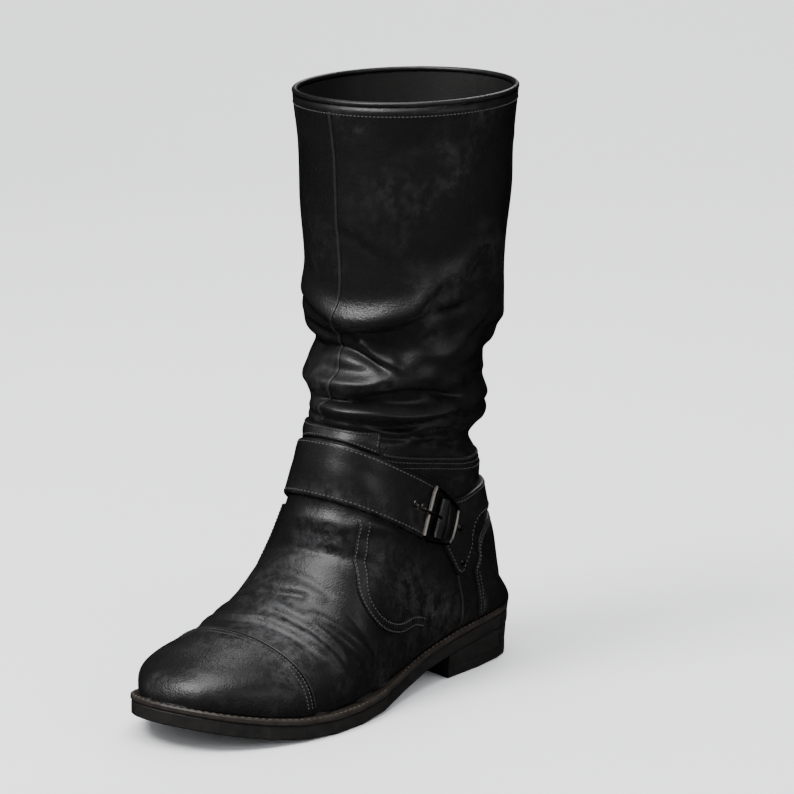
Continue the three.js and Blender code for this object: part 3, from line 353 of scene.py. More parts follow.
def level_normals(normals, shut):
    out = normals.copy()
    out[0] = (0, -1, 0)
    for rows, columns in ((slice(1, shut), 0), (slice(1, shut), -1), (len(out) - 1, slice(None))):
        part = out[rows, columns].copy()
        part[..., 2] = 0
        size = np.linalg.norm(part, axis=-1, keepdims=True)
        out[rows, columns] = part / np.maximum(size, 1e-9)
    return out


def face_grid(places, columns, extra=None):
    shut = int(np.argmin(np.abs(places - TOE_ROWS)))
    smooth = np.stack([section_points(p, columns) for p in places])
    normals = level_normals(grid_normals(smooth, shut), shut)
    lift = WALL + fold_at(smooth)
    if extra is not None:
        lift = lift + extra(smooth)
    grid = on_sole(smooth + normals * lift[..., None])
    return grid, level_normals(grid_normals(grid, shut), shut), shut


FINER = 5
COLUMNS = 240

# Creases of the shaft on its broad folds. Each has a height, its widths above and below in millimetres, and
# places along it: a turn in degrees and a height as a share of SHAFT_TOP.
SHAFT_CREASES = [
    (0.3, 0.9, 0.9, [(-179, 0.921), (-90, 0.922), (0, 0.92), (90, 0.922), (179, 0.921)]),
    (-0.25, 1.2, 1.2, [(-179, 0.914), (-90, 0.915), (0, 0.913), (90, 0.915), (179, 0.914)]),
    (2.2, 9, 3.4, [(-62, 0.688), (-40, 0.672), (-15, 0.652), (5, 0.631), (18, 0.628), (32, 0.641),
                   (44, 0.653), (57, 0.692), (73, 0.707), (92, 0.752), (106, 0.806)]),
    (2.0, 6, 3.0, [(8, 0.6), (16, 0.59), (25, 0.572), (34, 0.56), (40, 0.552)]),
    (1.7, 8, 4.0, [(26, 0.566), (39, 0.556), (52, 0.577), (68, 0.578), (84, 0.6), (99, 0.626),
                   (110, 0.64)]),
    (1.5, 5, 3.0, [(-70, 0.6), (-45, 0.598), (-19, 0.596), (-4, 0.594), (10, 0.592)]),
    (2.0, 7, 2.6, [(-16, 0.505), (-4, 0.508), (10, 0.512), (21, 0.526), (32, 0.54), (42, 0.541)]),
    (1.4, 7, 3.6, [(34, 0.541), (50, 0.54), (66, 0.533), (84, 0.52), (96, 0.506)]),
    (1.9, 4, 3.0, [(-20, 0.494), (-2, 0.487), (16, 0.478), (33, 0.473), (47, 0.472), (73, 0.479),
                   (98, 0.5)]),
    (1.3, 2.6, 2.0, [(-4, 0.463), (8, 0.461), (22, 0.455), (31, 0.447), (44, 0.436), (56, 0.431)]),
    (1.3, 2.6, 2.0, [(34, 0.436), (46, 0.443), (60, 0.447), (78, 0.443), (92, 0.44)]),
    (1.2, 2.4, 2.0, [(40, 0.426), (54, 0.43), (68, 0.428), (84, 0.418), (96, 0.412)]),
    (-2.6, 3.0, 4.0, [(-46, 0.628), (-28, 0.618), (-8, 0.604), (12, 0.605), (26, 0.611), (40, 0.622),
                      (56, 0.644), (76, 0.65), (98, 0.664)]),
    (-2.2, 2.6, 3.4, [(-34, 0.58), (-19, 0.576), (2, 0.583), (14, 0.574), (28, 0.556), (40, 0.545)]),
    (-1.0, 4.0, 8.0, [(-14, 0.548), (2, 0.545), (16, 0.543), (26, 0.544)]),
    (-2.2, 2.2, 2.8, [(-18, 0.496), (-3, 0.498), (12, 0.5), (26, 0.508), (42, 0.516), (58, 0.508),
                      (75, 0.498), (96, 0.49)]),
    (-1.8, 2.0, 2.2, [(-34, 0.47), (-14, 0.47), (4, 0.467), (17, 0.464), (33, 0.453), (48, 0.452),
                      (70, 0.458), (94, 0.47)]),
    (-1.5, 1.6, 1.8, [(20, 0.441), (33, 0.434), (48, 0.436), (66, 0.438), (90, 0.434), (114, 0.432)]),
    (-1.2, 1.8, 2.2, [(40, 0.418), (58, 0.421), (78, 0.412), (100, 0.402)]),
    (0.8, 4.0, 3.0, [(-2, 0.792), (8, 0.783), (16, 0.773), (24, 0.756), (34, 0.748)]),
    (-1.0, 3.0, 3.0, [(0, 0.781), (10, 0.771), (19, 0.757), (28, 0.741)]),
    (-0.7, 2.6, 3.6, [(30, 0.918), (40, 0.926), (50, 0.934), (60, 0.937)]),
    (1.3, 7, 4, [(-150, 0.64), (-130, 0.652), (-110, 0.65), (-86, 0.668), (-62, 0.688)]),
    (-1.8, 3.4, 4, [(-150, 0.598), (-126, 0.606), (-100, 0.612), (-74, 0.622), (-50, 0.63)]),
    (1.5, 6, 3.4, [(-156, 0.52), (-130, 0.528), (-108, 0.545), (-84, 0.552), (-64, 0.566), (-48, 0.574)]),
    (-1.8, 3.0, 3.4, [(-156, 0.492), (-128, 0.494), (-100, 0.508), (-76, 0.52), (-52, 0.52), (-34, 0.528)]),
    (1.5, 5, 3.0, [(-152, 0.44), (-124, 0.446), (-98, 0.462), (-72, 0.48), (-44, 0.492), (-22, 0.496)]),
    (-1.6, 2.6, 3.0, [(-148, 0.416), (-120, 0.416), (-92, 0.43), (-66, 0.446), (-42, 0.456)]),
    (1.2, 4, 2.6, [(-140, 0.392), (-112, 0.392), (-86, 0.404), (-60, 0.42), (-38, 0.436)]),
    (1.4, 7, 4, [(96, 0.606), (120, 0.618), (150, 0.606), (180, 0.6), (206, 0.61)]),
    (-1.5, 4, 4, [(92, 0.566), (118, 0.562), (150, 0.556), (180, 0.56), (214, 0.566)]),
    (1.5, 6, 3.4, [(86, 0.53), (110, 0.534), (140, 0.524), (176, 0.528), (208, 0.522)]),
    (-1.6, 3, 3.4, [(98, 0.474), (124, 0.47), (152, 0.47), (184, 0.474), (212, 0.47)]),
    (1.3, 4, 3, [(96, 0.444), (122, 0.442), (156, 0.45), (190, 0.444), (214, 0.44)]),
]

# Creases of the foot. Each has a height, a width, and places along it: a share of FOOT_LENGTH from the heel
# and a turn about the foot in degrees.
FOOT_CREASES = [
    (1.3, 5.0, [(0.572, -34), (0.57, -9), (0.568, 4), (0.549, 15), (0.511, 20), (0.454, 26), (0.42, 31)]),
    (-1.0, 4.0, [(0.596, -26), (0.592, -8), (0.588, 6), (0.574, 18), (0.545, 27), (0.5, 34)]),
    (-0.9, 2.2, [(0.668, -48), (0.663, -21), (0.663, -2), (0.652, 12), (0.644, 22)]),
    (0.7, 3.6, [(0.65, -44), (0.647, -18), (0.645, 2), (0.635, 20), (0.625, 32)]),
    (-0.5, 2.4, [(0.628, -30), (0.624, -11), (0.625, 5), (0.622, 21), (0.61, 34)]),
    (1.2, 2.8, [(0.735, -66), (0.73, -54), (0.73, -21), (0.719, 3), (0.712, 33), (0.696, 56), (0.677, 74),
                (0.668, 87)]),
    (-0.8, 2.6, [(0.75, -50), (0.746, -20), (0.738, 3), (0.732, 30), (0.718, 54), (0.702, 72)]),
    (0.9, 3.2, [(0.686, -12), (0.684, 8), (0.682, 26), (0.672, 47), (0.661, 66), (0.65, 78)]),
    (-0.8, 2.6, [(0.7, -14), (0.7, 6), (0.697, 26), (0.686, 46), (0.672, 64), (0.664, 78)]),
    (0.9, 3.2, [(0.668, 26), (0.664, 33), (0.646, 47), (0.62, 60), (0.585, 75), (0.57, 84)]),
    (-0.7, 2.8, [(0.672, 36), (0.66, 48), (0.636, 62), (0.604, 76), (0.59, 84)]),
    (-0.5, 2.4, [(0.61, 40), (0.6, 52), (0.585, 64), (0.57, 74)]),
    (0.6, 3.0, [(0.7, -74), (0.69, -58), (0.684, -42), (0.68, -26)]),
    (-0.6, 2.4, [(0.69, -78), (0.678, -62), (0.67, -46)]),
]
FOOT_CORE = 22
CREASE_DEPTH = 1.5

# Broad hollows of the shaft: depth, turn, height share, and half width and half height in millimetres
HOLLOWS = [
    (-1.2, 49, 0.79, 12, 10),
    (-1.6, 50, 0.735, 13, 9),
    (0.9, 19, 0.877, 16, 9),
    (1.1, 17, 0.808, 18, 10),
    (0.8, 30, 0.700, 18, 10),
    (-0.9, 88, 0.868, 12, 20),
    (-1.3, 112, 0.75, 14, 22),
    (0.9, 140, 0.84, 20, 18),
    (-1.0, 172, 0.76, 22, 14),
    (0.9, -48, 0.8, 18, 16),
    (-1.1, -58, 0.72, 16, 12),
    (-0.9, -118, 0.79, 20, 18),
    (0.8, -140, 0.7, 18, 12),
]


def smooth_line(xs, ys, at):
    """A smooth curve through points with rising xs."""
    slopes = np.gradient(ys, xs)
    i = np.clip(np.searchsorted(xs, at) - 1, 0, len(xs) - 2)
    width = xs[i + 1] - xs[i]
    t = np.clip((at - xs[i]) / width, 0, 1)
    a, b = ys[i], ys[i + 1]
    ma, mb = slopes[i] * width, slopes[i + 1] * width
    return a + t * (ma + t * (3 * (b - a) - 2 * ma - mb + t * (2 * (a - b) + ma + mb)))


def smooth_route(points, count):
    """A smooth line through points of any dimension."""
    points = np.asarray(points, float)
    place = np.arange(len(points), dtype=float)
    at = np.linspace(0, len(points) - 1, count)
    return np.stack([smooth_line(place, points[:, k], at) for k in range(points.shape[1])], 1)


def around_foot(along, turn):
    a = math.radians(turn)
    z = float(seat_at(along * FOOT_LENGTH)) - SOLE_THICK + FOOT_CORE
    return cast((0, HEEL_BACK - along * FOOT_LENGTH, z), (math.sin(a), 0, math.cos(a)))


def away_from_strap(points):
    front = smoothstep(AXIS[1] - points[..., 1], 0, 20)
    beside = smoothstep(np.abs(off_strap(points)), STRAP_WIDTH / 2 - 2, STRAP_WIDTH / 2 + 5)
    return 1 - front * (1 - beside)


# Middle line of the zip: turn, and height as a share of the way from the heel seat to the collar
ZIP = [(-86, 0.905), (-83.5, 0.84), (-82, 0.79), (-79, 0.72), (-75, 0.655), (-72.5, 0.6), (-70, 0.55)]


def away_from_zip(points, turn):
    heights = np.array([HEEL_HEIGHT + z[1] * SHAFT_RISE for z in reversed(ZIP)])
    turns = np.array([z[0] for z in reversed(ZIP)], float)
    z = points[..., 2]
    across = np.radians(np.abs(turn - np.interp(z, heights, turns))) * SHAFT_WIDTH / 2
    over = np.maximum(heights[0] - 6 - z, z - heights[-1] - 6)
    return np.maximum(smoothstep(across, 10, 17), smoothstep(over, 0, 8))


def crease_at(points):
    turn = turn_of(points)
    total = np.zeros(turn.shape)
    for height, above, below, route in SHAFT_CREASES:
        xs = np.array([p[0] for p in route], float)
        ys = np.array([p[1] for p in route], float) * SHAFT_TOP
        at = np.where(turn < xs[0] - 1, turn + 360, turn)
        off = points[..., 2] - smooth_line(xs, ys, at)
        off = off / np.where(off > 0, above, below)
        run = (at - xs[0]) / (xs[-1] - xs[0])
        ends = smoothstep(np.minimum(run, 1 - run), 0, 0.22)
        total += np.where((run > 0) & (run < 1), CREASE_DEPTH * height * np.exp(-off * off) * ends, 0)
    for depth, middle, share, wide, tall in HOLLOWS:
        turned = (turn - middle + 180) % 360 - 180
        across = np.radians(turned) * SHAFT_WIDTH / 2 / wide
        over = (points[..., 2] - share * SHAFT_TOP) / tall
        total += depth * np.exp(-across * across - over * over)
    for depth, width, route in FOOT_CREASES:
        line = np.array([around_foot(a, t)[0] for a, t in smooth_route(route, 24)])
        gap = np.full(turn.shape, 1e9)
        place = np.zeros(turn.shape)
        for k in range(len(line) - 1):
            way = line[k + 1] - line[k]
            t = np.clip(((points - line[k]) @ way) / (way @ way), 0, 1)
            d = np.linalg.norm(points - line[k] - t[..., None] * way, axis=-1)
            nearer = d < gap
            gap = np.where(nearer, d, gap)
            place = np.where(nearer, (k + t) / (len(line) - 1), place)
        gap = np.sqrt(np.maximum(gap**2 - WALL**2, 0))
        ends = smoothstep(np.minimum(place, 1 - place), -0.02, 0.2)
        total += CREASE_DEPTH * depth * np.exp(-((gap / width) ** 2)) * ends
    x, y, z = points[..., 0], points[..., 1], points[..., 2]
    waves = np.sin(x / 9 + z / 13 + 1.3) * np.sin(y / 11 - z / 17 + 0.4)
    waves = waves + 0.6 * np.sin(z / 7 + x / 15) * np.sin(y / 8)
    total += 0.22 * waves
    low = z - seat_at(HEEL_BACK - y)
    calm = smoothstep(low, 3, 14) * smoothstep(SHAFT_TOP - z, 4, 16)
    return total * away_from_strap(points) * away_from_zip(points, turn) * calm


# The face that rays are cast on: first the plain upper, then the upper with its creases
SURFACE = None


def cast(origin, direction):
    """The last place where a ray from inside the boot leaves the upper, and the outward normal there."""
    way = Vector(direction).normalized()
    point, normal, _, _ = SURFACE.ray_cast(Vector(origin) + way * 400, -way)
    return np.array(point), np.array(normal if normal.dot(way) > 0 else -normal)


def grid_faces(rows, columns, offset=0, closed=False):
    i, j = np.meshgrid(np.arange(rows - 1), np.arange(columns - (0 if closed else 1)), indexing="ij")
    k = (j + 1) % columns
    a = offset + i * columns + j
    b = offset + i * columns + k
    c = offset + (i + 1) * columns + k
    d = offset + (i + 1) * columns + j
    return np.stack([a, d, c, b], -1).reshape(-1, 4)


def tree_of(grid):
    return BVHTree.FromPolygons(grid.reshape(-1, 3).tolist(), grid_faces(*grid.shape[:2]).tolist())


SURFACE = tree_of(face_grid(row_places(1), 56)[0])
outer_grid, outer_normals, shut_row = face_grid(row_places(FINER), COLUMNS, crease_at)
inner_grid = (outer_grid - outer_normals * WALL)[::FINER, ::4]


def make_object(name, points, faces, materials=(), smooth=True):
    mesh = bpy.data.meshes.new(name)
    mesh.from_pydata((np.asarray(points) * MM).tolist(), [], [[int(v) for v in f] for f in faces])
    mesh.validate()
    mesh.update()
    obj = bpy.data.objects.new(name, mesh)
    bpy.context.collection.objects.link(obj)
    for material in materials:
        mesh.materials.append(material)
    mesh.polygons.foreach_set("use_smooth", [smooth] * len(mesh.polygons))
    return obj


def weld(obj):
    obj.modifiers.new("weld", "WELD").merge_threshold = WELD_GAP


def edge_faces(lines, count):
    """Quads between edge lines of a grid and the same places of its second layer."""
    out = []
    for line, turned in lines:
        quads = np.stack([line[:-1], line[:-1] + count, line[1:] + count, line[1:]], 1)
        out.append(quads[:, ::-1] if turned else quads)
    return out


def slab(name, top, low, material, toe_edge=True):
    """A piece between two grids of the same size. A cap has no edge at the toe, where its rows meet."""
    rows, columns = top.shape[:2]
    count = rows * columns
    grid = np.arange(count).reshape(rows, columns)
    lines = [(grid[0], True)] if toe_edge else []
    lines += [(grid[-1], False), (grid[:, 0], False), (grid[:, -1], True)]
    faces = [grid_faces(rows, columns), grid_faces(rows, columns, count)[:, ::-1], *edge_faces(lines, count)]
    points = np.vstack([top.reshape(-1, 3), low.reshape(-1, 3)])
    return make_object(name, points, np.vstack(faces), [material])


SURFACE = tree_of(outer_grid)


def on_shaft(turn, z):
    a = math.radians(turn)
    return cast((AXIS[0], AXIS[1], z), (math.sin(a), -math.cos(a), 0))


def on_side(side, from_heel, z):
    return cast((0, HEEL_BACK - from_heel, z), (side, 0, 0))


STRAP_FORWARD = np.array([0, -math.cos(STRAP_TILT), math.sin(STRAP_TILT)])
STRAP_ACROSS = np.array([0, math.sin(STRAP_TILT), math.cos(STRAP_TILT)])


def on_strap(angle, across):
    middle = np.array([AXIS[0], AXIS[1], STRAP_Z]) + STRAP_ACROSS * across
    a = math.radians(angle)
    return cast(middle, STRAP_FORWARD * math.cos(a) + np.array([math.sin(a), 0, 0]))


def fill(tree, socket, value):
    """Links an input to a socket, or sets it to a value."""
    if isinstance(value, bpy.types.NodeSocket):
        tree.links.new(value, socket)
    else:
        socket.default_value = value


def node(tree, kind, *ordered, settings=(), **named):
    made = tree.nodes.new("ShaderNode" + kind)
    for key, value in settings:
        setattr(made, key, value)
    for socket, value in zip(made.inputs, ordered):
        fill(tree, socket, value)
    for key, value in named.items():
        fill(tree, made.inputs[key.replace("_", " ")], value)
    return made


def math_of(tree, operation, *values, clamp=False):
    return node(tree, "Math", *values, settings=[("operation", operation), ("use_clamp", clamp)]).outputs[0]


def noise_of(tree, place, scale, detail, rough):
    return node(tree, "TexNoise", Vector=place, Scale=scale, Detail=detail, Roughness=rough).outputs["Fac"]


def contrast(tree, value, dark, light):
    made = node(tree, "ValToRGB", Fac=value)
    made.color_ramp.elements[0].position = dark
    made.color_ramp.elements[1].position = light
    return made.outputs["Color"]


def blend(tree, factor, low, high):
    sockets = dict(Factor=factor, A=(*low, 1), B=(*high, 1))
    return node(tree, "Mix", settings=[("data_type", "RGBA")], **sockets).outputs["Result"]


def bumped(tree, height, strength, distance):
    return node(tree, "Bump", Height=height, Strength=strength, Distance=distance).outputs["Normal"]


# Lighter places of the straps and of the upper, part wear and part painted highlight where the leather shows
# a broad sheen: middle and radius in millimetres, and how much lighter
# On the strap these spots sit on its front, where they paint its broad highlight as well as wear.
STRAP_WEAR_AND_SHEEN_SPOTS = [
    ((-10, -118, 112), 26, 0.5),
    ((8, -116, 114), 24, 0.6),
    ((26, -104, 112), 18, 0.35),
    ((44, -78, 104), 20, 0.25),
    ((-40, -90, 108), 22, 0.35),
]
# The spot at the toe tip is a scuff; the spots over the vamp are worn patches that also paint its broad grey
# highlight.
UPPER_WEAR_AND_SHEEN_SPOTS = [
    ((-8, -246, 30), 13, 0.8),
    ((14, -240, 40), 20, 0.3),
    ((4, -200, 48), 30, 0.35),
    ((4, -166, 72), 38, 0.55),
    ((10, -134, 94), 30, 0.5),
    ((28, -176, 56), 34, 0.5),
    ((38, -196, 36), 24, 0.4),
    ((44, -88, 66), 34, 0.22),
    ((38, -60, 48), 26, 0.22),
    ((10, -110, 214), 24, 0.12),
    ((30, -96, 190), 24, 0.12),
    ((14, -100, 290), 30, 0.06),
    ((-44, -140, 60), 34, 0.3),
    ((-50, -190, 34), 28, 0.35),
    ((0, 30, 60), 30, 0.25),
]


def leather_material(name, colour, wear_and_sheen_colour, rough, spots, grain=0.36, scuffs=0.3, coat=0.05):
    material = bpy.data.materials.new(name)
    material.use_nodes = True
    tree = material.node_tree
    shader = tree.nodes["Principled BSDF"]
    place = node(tree, "TexCoord").outputs["Object"]
    cloudy = noise_of(tree, place, 22, 6, 0.6)
    speck = contrast(tree, noise_of(tree, place, 160, 5, 0.65), 0.42, 0.72)
    both = math_of(tree, "MULTIPLY", contrast(tree, cloudy, 0.5, 0.78), speck)
    amount = math_of(tree, "MULTIPLY", both, scuffs)
    # Lighter round spots: wear, and painted highlight where a spot stands for a broad sheen
    for middle, radius, strength in spots:
        amount = add_wear_and_sheen_spot(tree, place, speck, amount, middle, radius, strength)
    gloss = node(tree, "MapRange", cloudy, 0.3, 0.7, rough - 0.05, rough + 0.09).outputs["Result"]
    pores = node(tree, "TexVoronoi", Vector=place, Scale=900).outputs["Distance"]
    height = math_of(tree, "MULTIPLY_ADD", pores, 0.45, noise_of(tree, place, 340, 4, 0.6))
    for key, value in {
        "Coat Weight": coat,
        "Coat Roughness": 0.3,
        "Specular IOR Level": 0.45,
        "Base Color": blend(tree, amount, colour, wear_and_sheen_colour),
        "Roughness": math_of(tree, "MULTIPLY_ADD", amount, 0.3, gloss),
        "Normal": bumped(tree, height, grain, 0.0006),
    }.items():
        fill(tree, shader.inputs[key], value)
    return material


def add_wear_and_sheen_spot(tree, place, speck, amount, middle, radius, strength):
    """Adds lighter colour inside a round spot, broken up by the fine specks: wear, and painted highlight
    where the spot stands for a sheen.
    """
    centre = [v * MM for v in middle]
    away = node(tree, "VectorMath", place, centre, settings=[("operation", "DISTANCE")]).outputs["Value"]
    smooth = [("interpolation_type", "SMOOTHSTEP")]
    near = node(tree, "MapRange", away, radius * MM, 0, 0, strength, settings=smooth).outputs["Result"]
    return math_of(tree, "ADD", amount, math_of(tree, "MULTIPLY", near, speck), clamp=True)


def plain_material(name, colour, rough, metallic=0.0, noise=0.0, scale=300.0):
    material = bpy.data.materials.new(name)
    material.use_nodes = True
    tree = material.node_tree
    shader = tree.nodes["Principled BSDF"]
    cloudy = noise_of(tree, node(tree, "TexCoord").outputs["Object"], scale, 5, 0.6)
    low = [c * (1 - noise) for c in colour]
    high = [min(1, c * (1 + noise)) for c in colour]
    gloss = node(tree, "MapRange", cloudy, 0, 1, max(0, rough - 0.08), min(1, rough + 0.08)).outputs["Result"]
    fill(tree, shader.inputs["Metallic"], metallic)
    fill(tree, shader.inputs["Base Color"], blend(tree, cloudy, low, high))
    fill(tree, shader.inputs["Roughness"], gloss)
    fill(tree, shader.inputs["Normal"], bumped(tree, cloudy, 0.3, 0.0003))
    return material


# The lighter colour of the upper shows its wear and the painted highlight of its vamp spots.
UPPER = leather_material("upper_leather", (0.0058, 0.0056, 0.0058), (0.08, 0.08, 0.084), 0.39, UPPER_WEAR_AND_SHEEN_SPOTS)
# Lighter colour of the strap, raised to paint its broad highlight as well as its wear.
STRAP_WEAR_AND_SHEEN_COLOUR = (0.075, 0.073, 0.074)
STRAP = leather_material("strap_leather", (0.006, 0.0058, 0.0059), STRAP_WEAR_AND_SHEEN_COLOUR, 0.36, STRAP_WEAR_AND_SHEEN_SPOTS, 0.2, 0.2)
SEAM = leather_material("seam_leather", (0.013, 0.0125, 0.0125), (0.07, 0.066, 0.064), 0.42, [], 0.3, 0.6)
LINING_WEAR = (0.03, 0.026, 0.023)
LINING = leather_material("lining_leather", (0.007, 0.0062, 0.0058), LINING_WEAR, 0.6, [], 0.2, 0.4, 0.0)
THREAD = plain_material("thread", (0.05, 0.048, 0.046), 0.6, 0, 0.35, 1500)
WELT_THREAD = plain_material("welt_thread", (0.06, 0.05, 0.04), 0.7, 0, 0.35, 1500)
METAL = plain_material("buckle_metal", (0.24, 0.225, 0.21), 0.34, 1, 0.35, 220)
ZIP_METAL = plain_material("zip_metal", (0.34, 0.32, 0.3), 0.36, 1, 0.3, 260)
TAPE = plain_material("zip_tape", (0.012, 0.012, 0.012), 0.8, 0, 0.4, 1800)
WELT = plain_material("welt_leather", (0.02, 0.0155, 0.012), 0.5, 0, 0.8, 110)
RUBBER = plain_material("sole_rubber", (0.011, 0.0095, 0.0085), 0.55, 0, 0.7, 130)
INSOLE = plain_material("insole_leather", (0.045, 0.036, 0.028), 0.65, 0, 0.3, 90)


# The upper: its outer face, turned in at the collar and under the foot, and its lining
def make_upper():
    rows, columns = outer_grid.shape[:2]
    turned_in = outer_grid - outer_normals * (WALL - 0.1)
    count = rows * columns
    low = np.arange(shut_row + 1) * columns
    lines = [((rows - 1) * columns + np.arange(columns), False), (low, True), (low + columns - 1, False)]
    faces = np.vstack([grid_faces(rows, columns), *edge_faces(lines, count)])
    used, faces = np.unique(faces, return_inverse=True)
    points = np.vstack([outer_grid.reshape(-1, 3), turned_in.reshape(-1, 3)])[used]
    shell = make_object("boot_upper", points, faces.reshape(-1, 4), [UPPER])
    weld(shell)
    inner_faces = grid_faces(*inner_grid.shape[:2])[:, ::-1]
    lining = make_object("boot_lining", inner_grid.reshape(-1, 3), inner_faces, [LINING])
    for obj in (shell, lining):
        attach(obj, "boot")
    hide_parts("upper")


make_upper()


def overlay(name, hits, thick, material, node_name, edge=1.0, sink=0.5):
    """A soft-edged piece on the upper: `hits` is a grid of (point, normal), rows by columns."""
    points = np.array([[hit[0] for hit in row] for row in hits])
    given = np.array([[hit[1] for hit in row] for row in hits])
    normals = grid_normals(points, len(points))
    normals = np.where((normals * given).sum(-1, keepdims=True) < 0, -normals, normals)
    rows, columns = points.shape[:2]
    along = np.linalg.norm(np.diff(points, axis=1), axis=2)
    run = np.concatenate([np.zeros((rows, 1)), np.cumsum(along, 1)], 1)
    over = np.linalg.norm(np.diff(points, axis=0), axis=2)
    rise = np.concatenate([np.zeros((1, columns)), np.cumsum(over, 0)], 0)
    near = np.minimum(np.minimum(rise, rise[-1:] - rise), np.minimum(run, run[:, -1:] - run))
    t = np.clip(near / edge, 0, 1)
    height = thick * (0.35 + 0.65 * np.sqrt(1 - (1 - t) ** 2)) + CLEAR
    obj = slab(name, points + normals * height[..., None], points - normals * sink, material)
    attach(obj, "boot")
    if node_name:
        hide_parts(node_name)


def shares(count, border, length):
    """Shares from 0 to 1 with extra ones near both ends for a rounded edge."""
    near = [0, border * 0.12 / length, border * 0.35 / length, border * 0.7 / length, border / length]
    far = [1 - s for s in reversed(near)]
    middle = list(np.linspace(near[-1], far[0], max(2, count))[1:-1])
    return near + middle + far


FINE = 1.0


def steps(count):
    return max(3, int(count * FINE))


def cap_place(share):
    """Where the edge of the toe cap lies, at a share of the way across the foot."""
    side = abs(2 * share - 1)
    return CAP_EDGE + CAP_SWEEP * side * side


def toe_cap():
    columns = 2 * steps(75)
    down = shares(steps(60), 0.9, 60)
    grid = np.zeros((len(down), columns + 1, 3))
    sections = {}
    for i, share in enumerate(down):
        for j in range(columns + 1):
            place = share * cap_place(j / columns)
            key = round(place, 5)
            if key not in sections:
                sections[key] = section_points(place, columns)
            grid[i, j] = sections[key][j]
    normals = level_normals(grid_normals(grid, len(grid)), len(grid))
    normals[-1] = grid_normals(grid, len(grid))[-1]
    base = grid + normals * (WALL + 0.1)
    to_edge = np.linalg.norm(grid - grid[-1:], axis=2)
    t = np.clip(to_edge / 1.1, 0, 1)
    height = OVERLAY_THICK * np.sqrt(1 - (1 - t) ** 2) + 0.1
    top = on_sole(base + normals * height[..., None])
    obj = slab("cap_leather", top, on_sole(base - normals * 0.6), UPPER, toe_edge=False)
    weld(obj)
    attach(obj, "boot")
    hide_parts("toe_cap")


toe_cap()

# Heel counter
COUNTER = table(
    ["lowTurn", "highTurn", "high"],
    [
        [119, 108.5, 0.178],
        [123, 114, 0.203],
        [128, 119, 0.223],
        [134, 126, 0.24],
        [141, 134, 0.252],
        [148, 143, 0.258],
        [155, 151, 0.261],
        [161, 158, 0.262],
        [167, 165, 0.262],
        [173.5, 172.5, 0.262],
        [180, 180, 0.262],
    ],
)


def mirrored(rows, turns):
    back = [{**row, **{k: 360 - row[k] for k in turns}} for row in reversed(rows[:-1])]
    return rows + back


def along_rows(rows, share):
    """A row of a table at a share of the way along it, smoothly."""
    place = np.arange(len(rows), dtype=float)
    at = np.array(share * (len(rows) - 1))
    return {k: float(smooth_line(place, column(rows, k), at)) for k in rows[0]}


def turn_at(row, share):
    return row["lowTurn"] + share * (row["highTurn"] - row["lowTurn"])


def heel_counter():
    rows = mirrored(COUNTER, ["lowTurn", "highTurn"])
    low = HEEL_HEIGHT + CLEAR + 0.7
    columns = [along_rows(rows, s) for s in shares(steps(90), 1, 180)]
    hits = [
        [
            on_shaft(turn_at(row, s), low + s * (row["high"] * SHAFT_TOP - low))
            for row in columns
        ]
        for s in shares(steps(34), 1, 60)
    ]
    overlay("counter_leather", hits, OVERLAY_THICK, UPPER, "heel_counter")


heel_counter()

# Ankle strap
STRAP_END = 56


def ankle_strap():
    hits = [
        [on_strap((2 * s - 1) * STRAP_END, (t - 0.5) * STRAP_WIDTH) for s in shares(steps(110), 1, 170)]
        for t in shares(steps(18), 1.4, STRAP_WIDTH)
    ]
    overlay("ankle_strap_leather", hits, STRAP_THICK, STRAP, "ankle_strap", 1.4, 1.2)


ankle_strap()

# Heel strap
HEEL_STRAP = table(
    ["lowTurn", "low", "highTurn", "high"],
    [
        [69, 0.252, 81, 0.315],
        [73, 0.232, 86, 0.313],
        [79, 0.208, 92, 0.312],
        [85, 0.187, 98, 0.313],
        [90, 0.183, 103, 0.314],
        [95, 0.197, 108, 0.316],
        [103, 0.227, 114, 0.318],
        [111, 0.254, 119, 0.32],
        [120, 0.268, 126, 0.321],
        [135, 0.27, 138, 0.322],
        [150, 0.27, 152, 0.323],
        [166, 0.27, 166, 0.323],
        [180, 0.27, 180, 0.324],
    ],
)


def heel_strap():
    rows = mirrored(HEEL_STRAP, ["lowTurn", "highTurn"])
    columns = [along_rows(rows, s) for s in shares(steps(200), 1, 220)]
    hits = [
        [
            on_shaft(turn_at(row, s), (row["low"] + s * (row["high"] - row["low"])) * SHAFT_TOP)
            for row in columns
        ]
        for s in shares(steps(16), 1.2, 25)
    ]
    overlay("heel_strap_leather", hits, HARNESS_THICK, STRAP, "heel_strap", 1.2, 1.2)


heel_strap()

# Seam strips of the vamp
VAMP_SEAM = table(
    ["along", "up"],
    [
        [0.522, 0.31],
        [0.535, 0.27],
        [0.552, 0.225],
        [0.561, 0.19],
        [0.545, 0.158],
        [0.51, 0.137],
        [0.465, 0.127],
        [0.42, 0.13],
        [0.385, 0.122],
    ],
)
SEAM_WIDTH = 6.5


def vamp_seam(side, name):
    places = np.arange(len(VAMP_SEAM), dtype=float)
    x = column(VAMP_SEAM, "along") * FOOT_LENGTH
    z = column(VAMP_SEAM, "up") * SHAFT_TOP
    at = np.array(shares(steps(60), 0.8, 90)) * (len(VAMP_SEAM) - 1)
    px, pz = smooth_line(places, x, at), smooth_line(places, z, at)
    dx, dz = np.gradient(px, at), np.gradient(pz, at)
    size = np.hypot(dx, dz) / SEAM_WIDTH
    hits = [
        [on_side(side, a - over * da, b + over * db) for a, b, da, db in zip(px, pz, dz / size, dx / size)]
        for over in (np.array(shares(4, 1, SEAM_WIDTH)) - 0.5)
    ]
    overlay("vamp_strip_" + name, hits, OVERLAY_THICK, UPPER, "vamp_seam_" + name, 1)


